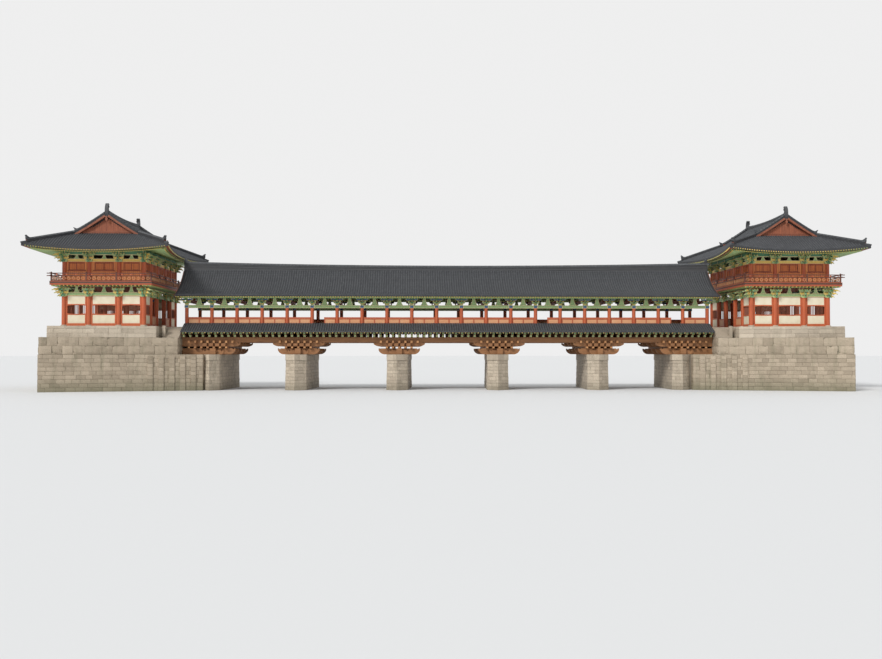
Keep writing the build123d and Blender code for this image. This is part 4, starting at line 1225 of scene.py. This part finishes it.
light_scheme = (pale, cream, yellow)
wing_units = {
    ("arm", 0): bow_arm(0.085, 0.025, scheme),
    ("arm", 1): bow_arm(0.125, 0.025, light_scheme),
    ("arm", 2): bow_arm(0.150, 0.024, scheme),
}
for tier, reach in enumerate((0.056, 0.084, 0.108)):
    wing_units["beak", tier] = beak_arm(reach, 0.026, scheme)
for tier, reach in enumerate((0.085, 0.125, 0.155)):
    wing_units["corner", tier] = beak_arm(reach, 0.026, light_scheme)
wing_units["wing_block"] = bearing_block(0.016, 0.011, 0.018)
# Length of the arm of each tier, its reach from the wall, and where its blocks sit
wing_tiers = [
    (0.085, 0.022, (-0.42, 0, 0.42)),
    (0.125, 0.029, (-0.42, 0, 0.42)),
    (0.150, 0.036, (-0.45, -0.2, 0.2, 0.45)),
]
tier_step = 0.036


def set_wings(copies, seat, corner):
    # The carved wings in front of a column head: three tiers of bow arms, blocks and beaks
    for tier, (length, out, shares) in enumerate(wing_tiers):
        level = tier * tier_step
        copies.add(("arm", tier), seat @ at(0, -out, level) @ turned(90))
        copies.add(("beak", tier), seat @ at(0, 0, level - 0.001))
        for share in shares:
            copies.add("wing_block", seat @ at(share * length, -out, level + 0.0245))
        if corner:
            copies.add(("corner", tier), seat @ at(0, 0, level) @ turned(45))


# Level of the lintel's underside, heights of the lintel, of the bracket sets and of the beam on them, and
# the level of the wings
for storey, bottom, lintel, block, beam, wing_foot, tints in (
    ("ground", 1.160, 0.040, 0.070, 0.015, 1.150, scheme),
    ("upper", 1.575, 0.035, 0.045, 0.080, 1.571, (yellow, cream, yellow)),
):
    units = bracket_units(block, 0.105, (0.055, 0.085), 0.080)
    units["knot"] = panel_box((0.0635, 0.035, lintel + 0.001), 0.007, 0.0008, (green, yellow, blue))
    units |= wing_units
    for width in bay_widths:
        units["board", width] = panel_box((width - 0.064, 0.034, lintel), 0.006, 0.0008, tints)
    for width in bay_widths:
        border = min(0.012, beam * 0.3)
        units["beam", width] = panel_box((width - 0.001, 0.034, beam), border, 0.0008, (green, cream, green))
    copies = Copies(units)
    seat = bottom + lintel
    for face, bays, lines in faces_round():
        copies.stand = face
        for place in lines:
            set_brackets(copies, at(place, 0, seat), block, 0.105)
            copies.add("knot", at(place, 0, bottom + lintel / 2))
            set_wings(copies, at(place, 0, wing_foot), place == lines[-1])
        for middle, width, use in bays:
            copies.add("leaf", at(middle, 0, seat) @ turned(90))
            copies.add(("board", width), at(middle, 0, bottom + lintel / 2))
            copies.add(("beam", width), at(middle, 0, seat + block + beam / 2))
    pavilion_piece(f"{storey}_brackets", copies, paints, f"{storey}_frieze")

# Columns, ties and rails of red-painted timber, turned and planed, the grain upright in the columns.
# Each column stands on a round stone. A few of the boards of the front rails are missing.
red_post = timber(
    "red_post", (0.62, 0.145, 0.042), (0.40, 0.07, 0.025), (0.54, 0.16, 0.06), (70.0, 70.0, 5.0), 0.42, 0.3
)
red_beam = timber(
    "red_beam", (0.50, 0.12, 0.05), (0.30, 0.055, 0.028), (0.40, 0.13, 0.07), (40.0, 8.0, 40.0), 0.48, 0.3
)
red_rail = timber(
    "red_rail", (0.60, 0.15, 0.055), (0.38, 0.075, 0.032), (0.54, 0.19, 0.09), (6.0, 60.0, 60.0), 0.48, 0.3
)
lit_board = timber(
    "lit_board", (0.74, 0.38, 0.19), (0.60, 0.26, 0.12), (0.78, 0.50, 0.30), (6.0, 60.0, 60.0), 0.5, 0.3
)
dress(red_post, "walk_columns", "ground_columns", "upper_columns", "window_jambs")
dress(red_beam, "walk_trusses")
dress(red_rail, "walk_rail")


def drum(radius, height, segments=20):
    # A low round stone with a softened upper edge
    shape = cone(segments, radius, radius, height, at(0, 0, height / 2))
    top = [edge for edge in shape.edges if all(vert.co.z > height * 0.9 for vert in edge.verts)]
    soften(shape, top, height * 0.35, 2)
    for face in shape.faces:
        face.smooth = abs(face.normal.z) < 0.95
    return as_mesh(shape)


walk_floor_top = 0.82
sunk = 0.001
copies = Copies({"broad": drum(0.040, 0.016), "narrow": drum(0.030, 0.010)})
for side in banks.values():
    for x in narrow_lines:
        for y in broad_lines:
            if abs(x) == half_x or abs(y) == half_y:
                copies.add("broad", at(side * centre + x, y, podium_top - sunk))
for place in column_places:
    for face in faces.values():
        copies.add("narrow", at(place, face * walk_row, walk_floor_top - sunk))
piece("column_bases", copies, [pale_granite])

# The boards that are gone from the front: the number of the bay and the half of it
missing_boards = {(6, 0), (15, 0), (20, 1)}
half_bay = 0.135
rail_level = 0.8645
rail_board = panel_box((0.129, 0.020, 0.054), 0.007, 0.0022, (0, 0, 1))
for face_name, face in faces.items():
    copies = Copies({"board": rail_board})
    for number, place in enumerate(column_places[:-1], 1):
        for half in (0, 1):
            if face > 0 or (number, half) not in missing_boards:
                middle = place + walk_bay / 2 + (half - 0.5) * half_bay
                copies.add("board", on_face(face, middle, walk_row, rail_level))
    piece(f"rail_boards_{face_name}", copies, [red_rail, lit_board])

# Walls of the ground floor: lime plaster panels in red frames below and above each window, whose rails
# bow a little, with stout upright bars. Beside the passage there is only a boarded rail.
plaster, place = start_finish("cream_plaster")
trowel = place.noise(14.0, 5.0, 0.6)
grit = place.noise(260.0, 3.0, 0.7)
damp = (place.axis("Z") + trowel * 0.03).between(0.87, 0.82) * 0.35
colour = trowel.between(0.3, 0.7).blend((0.70, 0.61, 0.43), (0.79, 0.71, 0.54))
colour = damp.blend(colour, (0.58, 0.46, 0.30))
close_finish(plaster, colour, grit * 0.1 + 0.75, trowel * 0.7 + grit * 0.3, 0.0012)
dress(plaster, "ground_panels")
dark_bars = timber(
    "dark_bars", (0.26, 0.075, 0.035), (0.12, 0.035, 0.018), (0.20, 0.08, 0.045), (70.0, 70.0, 5.0), 0.55, 0.3
)
columns_take = 0.082
bar_pitch, bar_width, bar_height = 0.0165, 0.0065, 0.118
# Levels of the middles of the pieces of a bay, from the sill up to the panel over the window
sill_level, rail_board_level, below_level, handrail_level = 0.8045, 0.8685, 0.875, 0.916
low_rail_level, bars_level, high_rail_level, above_level = 0.938, 0.992, 1.045, 1.107
rail_rise = 0.006
rail_length = 0.218
units = {
    "bar": bar_unit(),
    "dark": bar_unit(3),
    "rail": panel_box((rail_length, 0.0212, 0.097), 0.009, 0.003, (0, 0, 2)),
}
for width in (0.30, 0.36):
    for name, high in (("below", 0.112), ("above", 0.108)):
        units[name, width] = panel_box((width - columns_take, 0.0212, high), 0.008, 0.003, (0, 0, 1))
    units["sill", width] = panel_box((width - 0.06, 0.0345, 0.031), 0.005, 0.001, (0, 0, 0))


def bowed(length, level, rise):
    # A rail that bows up by the rise, in short pieces
    count = 8
    for number in range(count):
        ends = [-length / 2 + length * (number + more) / count for more in (0, 1)]
        levels = [level + rise * (1 - (2 * x / length) ** 2) for x in ends]
        lean = Matrix.Rotation(-math.atan2(levels[1] - levels[0], ends[1] - ends[0]), 4, "Y")
        size = sized(length / count * 1.05, 0.024, 0.011)
        yield at(sum(ends) / 2, 0, sum(levels) / 2) @ lean @ size


copies = Copies(units)
for face, bays, lines in faces_round():
    for middle, width, use in bays:
        copies.stand = face @ at(middle, 0, 0)
        if use != "passage":
            copies.add(("sill", width), at(0, 0, sill_level))
        if use == "rail":
            copies.add("rail", at(0, 0, rail_board_level))
            copies.add("bar", at(0, 0, handrail_level) @ sized(rail_length, 0.026, 0.014))
        if use == "wall":
            clear = width - columns_take
            copies.add(("below", width), at(0, 0, below_level))
            copies.add(("above", width), at(0, 0, above_level))
            copies.add("bar", *bowed(clear, low_rail_level, -rail_rise))
            copies.add("bar", *bowed(clear, high_rail_level, rail_rise))
            count = int((clear - 0.01) / bar_pitch)
            for number in range(count):
                x = (number - (count - 1) / 2) * bar_pitch
                bar = sized(bar_width, bar_width, bar_height)
                copies.add("dark", at(x, 0, bars_level) @ turned(45) @ bar)
pavilion_piece("window_bars", copies, [red_post, plaster, lit_board, dark_bars])

# Upper storey: upright boards painted orange red, with a pair of barred shutters in each bay under a
# head rail, on a sill whose ends are carved as knobs.
orange_boards, place = start_finish("orange_boards")
across = (place.axis("X") + place.axis("Y")) * 42.0
joint = across.math("FRACT")
edge = joint.between(0.90, 0.96) + joint.between(0.10, 0.04)
board_number = across.math("FLOOR")
white_noise = {"noise_dimensions": "1D"}
board_tone = board_number.node("ShaderNodeTexWhiteNoise", white_noise, {"W": board_number}, "Value")
fibre = place.stretched((70.0, 70.0, 5.0)).noise(1.0, 5.0, 0.6)
colour = (board_tone * 0.45 + fibre * 0.55).blend((0.58, 0.145, 0.042), (0.86, 0.30, 0.08))
colour = (edge * 0.7).blend(colour, (0.20, 0.045, 0.018))
close_finish(orange_boards, colour, fibre * 0.15 + 0.42, fibre * 0.3 - edge, 0.0016)
dress(orange_boards, "upper_walls", "shutters")
deep_red = timber(
    "deep_red", (0.40, 0.095, 0.04), (0.24, 0.05, 0.024), (0.26, 0.08, 0.045), (60.0, 60.0, 60.0), 0.5, 0.3
)
orange_slat = timber(
    "orange_slat", (0.70, 0.21, 0.06), (0.48, 0.11, 0.035), (0.60, 0.20, 0.08), (60.0, 60.0, 6.0), 0.5, 0.3
)
knob = bmesh.new()
bmesh.ops.create_uvsphere(knob, u_segments=10, v_segments=6, radius=0.0065)
for face in knob.faces:
    face.smooth = True
copies = Copies({"frame": bar_unit(), "slat": bar_unit(1), "knob": as_mesh(knob)})
shutter_middle, sill_middle, head_middle = 1.515, 1.4665, 1.564
leaf_rails = (1.5545, 1.4755)
slat_pitch = 0.0105
for face, bays, lines in faces_round():
    for middle, width, use in bays:
        copies.stand = face @ at(middle, 0, 0)
        opening = width * 0.58
        leaf = opening / 2
        copies.add("frame", at(0, 0, head_middle) @ sized(opening + 0.016, 0.021, 0.008))
        for x in (-leaf - 0.004, leaf + 0.004, 0):
            copies.add("frame", at(x, 0, shutter_middle) @ sized(0.008, 0.021, 0.09))
        for level in leaf_rails:
            for x in (-leaf / 2, leaf / 2):
                copies.add("frame", at(x, 0, level) @ sized(leaf - 0.006, 0.021, 0.005))
        copies.add("frame", at(0, 0, sill_middle) @ sized(opening + 0.036, 0.032, 0.009))
        for end in (-1, 1):
            copies.add("knob", at(end * (leaf + 0.020), -0.012, sill_middle))
        count = int(opening / slat_pitch)
        for number in range(count):
            x = (number - (count - 1) / 2) * slat_pitch
            copies.add("slat", at(x, 0, shutter_middle) @ sized(0.0035, 0.0135, 0.078))
pavilion_piece("upper_windows", copies, [deep_red, orange_slat])

# Balconies: a floor of beams and boards with a dark edge board between red mouldings, carried on small
# beams with painted ends, and a railing with a lattice of short bars between square posts.
balcony_edge = timber(
    "balcony_edge", (0.10, 0.05, 0.035), (0.045, 0.022, 0.017), (0.085, 0.05, 0.04),
    (20.0, 20.0, 60.0), 0.5, 0.3,
)
rail_timber = timber(
    "rail_timber", (0.17, 0.055, 0.032), (0.085, 0.028, 0.018), (0.13, 0.055, 0.038),
    (30.0, 30.0, 30.0), 0.48, 0.3,
)
dress(red_beam, "balcony")
dress(rail_timber, "balcony_rail")
floor_out, rail_out = 0.130, 0.116
joist_step, cell = 0.045, 0.056
joist_level, edge_level, cap_level = 1.2775, 1.3145, 1.43
lattice_middle, block_level = 1.365, 1.41
post_half = 0.008
thin = 0.0036
post_cap = drum(0.0095, 0.012, 10)
for cap_face in post_cap.polygons:
    cap_face.material_index = 3
trim = Copies({"solid": bar_unit(), "edge": bar_unit(1), "lattice": bar_unit(2), "cap": post_cap})
joists = Copies({"joist": square_rod})
# Level, height and projection of the mouldings
mouldings = [(1.3275, 0.006, 0.0045), (1.3015, 0.005, 0.0035), (1.288, 0.006, 0.002)]
for face, bays, lines in faces_round():
    trim.stand = joists.stand = face
    half = lines[-1]
    wide = 2 * (half + floor_out)
    trim.add("edge", at(0, -floor_out - 0.0005, edge_level) @ sized(wide + 0.004, 0.004, 0.021))
    for level, high, proud in mouldings:
        trim.add("solid", at(0, -floor_out, level) @ sized(wide + 2 * proud, 2 * proud, high))
    count = int((half + floor_out - 0.02) / joist_step)
    for number in range(-count, count + 1):
        start = at(number * joist_step, -floor_out + 0.012, joist_level)
        joists.add("joist", start @ sized(0.014, floor_out - 0.03, 0.014))
    posts = [-half - rail_out, *lines[1:-1], half + rail_out]
    for place in posts:
        trim.add("cap", at(place, -rail_out, cap_level))
    for low, high in zip(posts, posts[1:]):
        clear = high - low - 2 * post_half
        count = max(1, round(clear / cell))
        wide = clear / count
        # Place, length and height of each bar of a cell: its sides, inner square, spurs and links
        bars = [
            (-wide / 2, 0, 0.004, 0.05), (wide / 2, 0, 0.004, 0.05),
            (-wide / 4, 0, thin, 0.024), (wide / 4, 0, thin, 0.024),
            (0, 0.012, wide / 2, thin), (0, -0.012, wide / 2, thin),
            (0, 0.0185, thin, 0.013), (0, -0.0185, thin, 0.013),
            (-wide * 3 / 8, 0, wide / 4, thin), (wide * 3 / 8, 0, wide / 4, thin),
        ]
        for number in range(count):
            middle = low + post_half + wide * (number + 0.5)
            for x, z, long, tall in bars:
                trim.add("lattice", at(middle + x, -rail_out, lattice_middle + z) @ sized(long, 0.005, tall))
            if number % 2:
                trim.add("solid", at(middle - wide / 2, -rail_out, block_level) @ sized(0.012, 0.008, 0.02))
trim_finishes = [red_rail, balcony_edge, lit_board, rail_timber]
for side_name, side in banks.items():
    piece(f"balcony_trim_{side_name}", trim.moved(side * centre), trim_finishes)
    piece(f"balcony_joists_{side_name}", joists.moved(side * centre), paints)
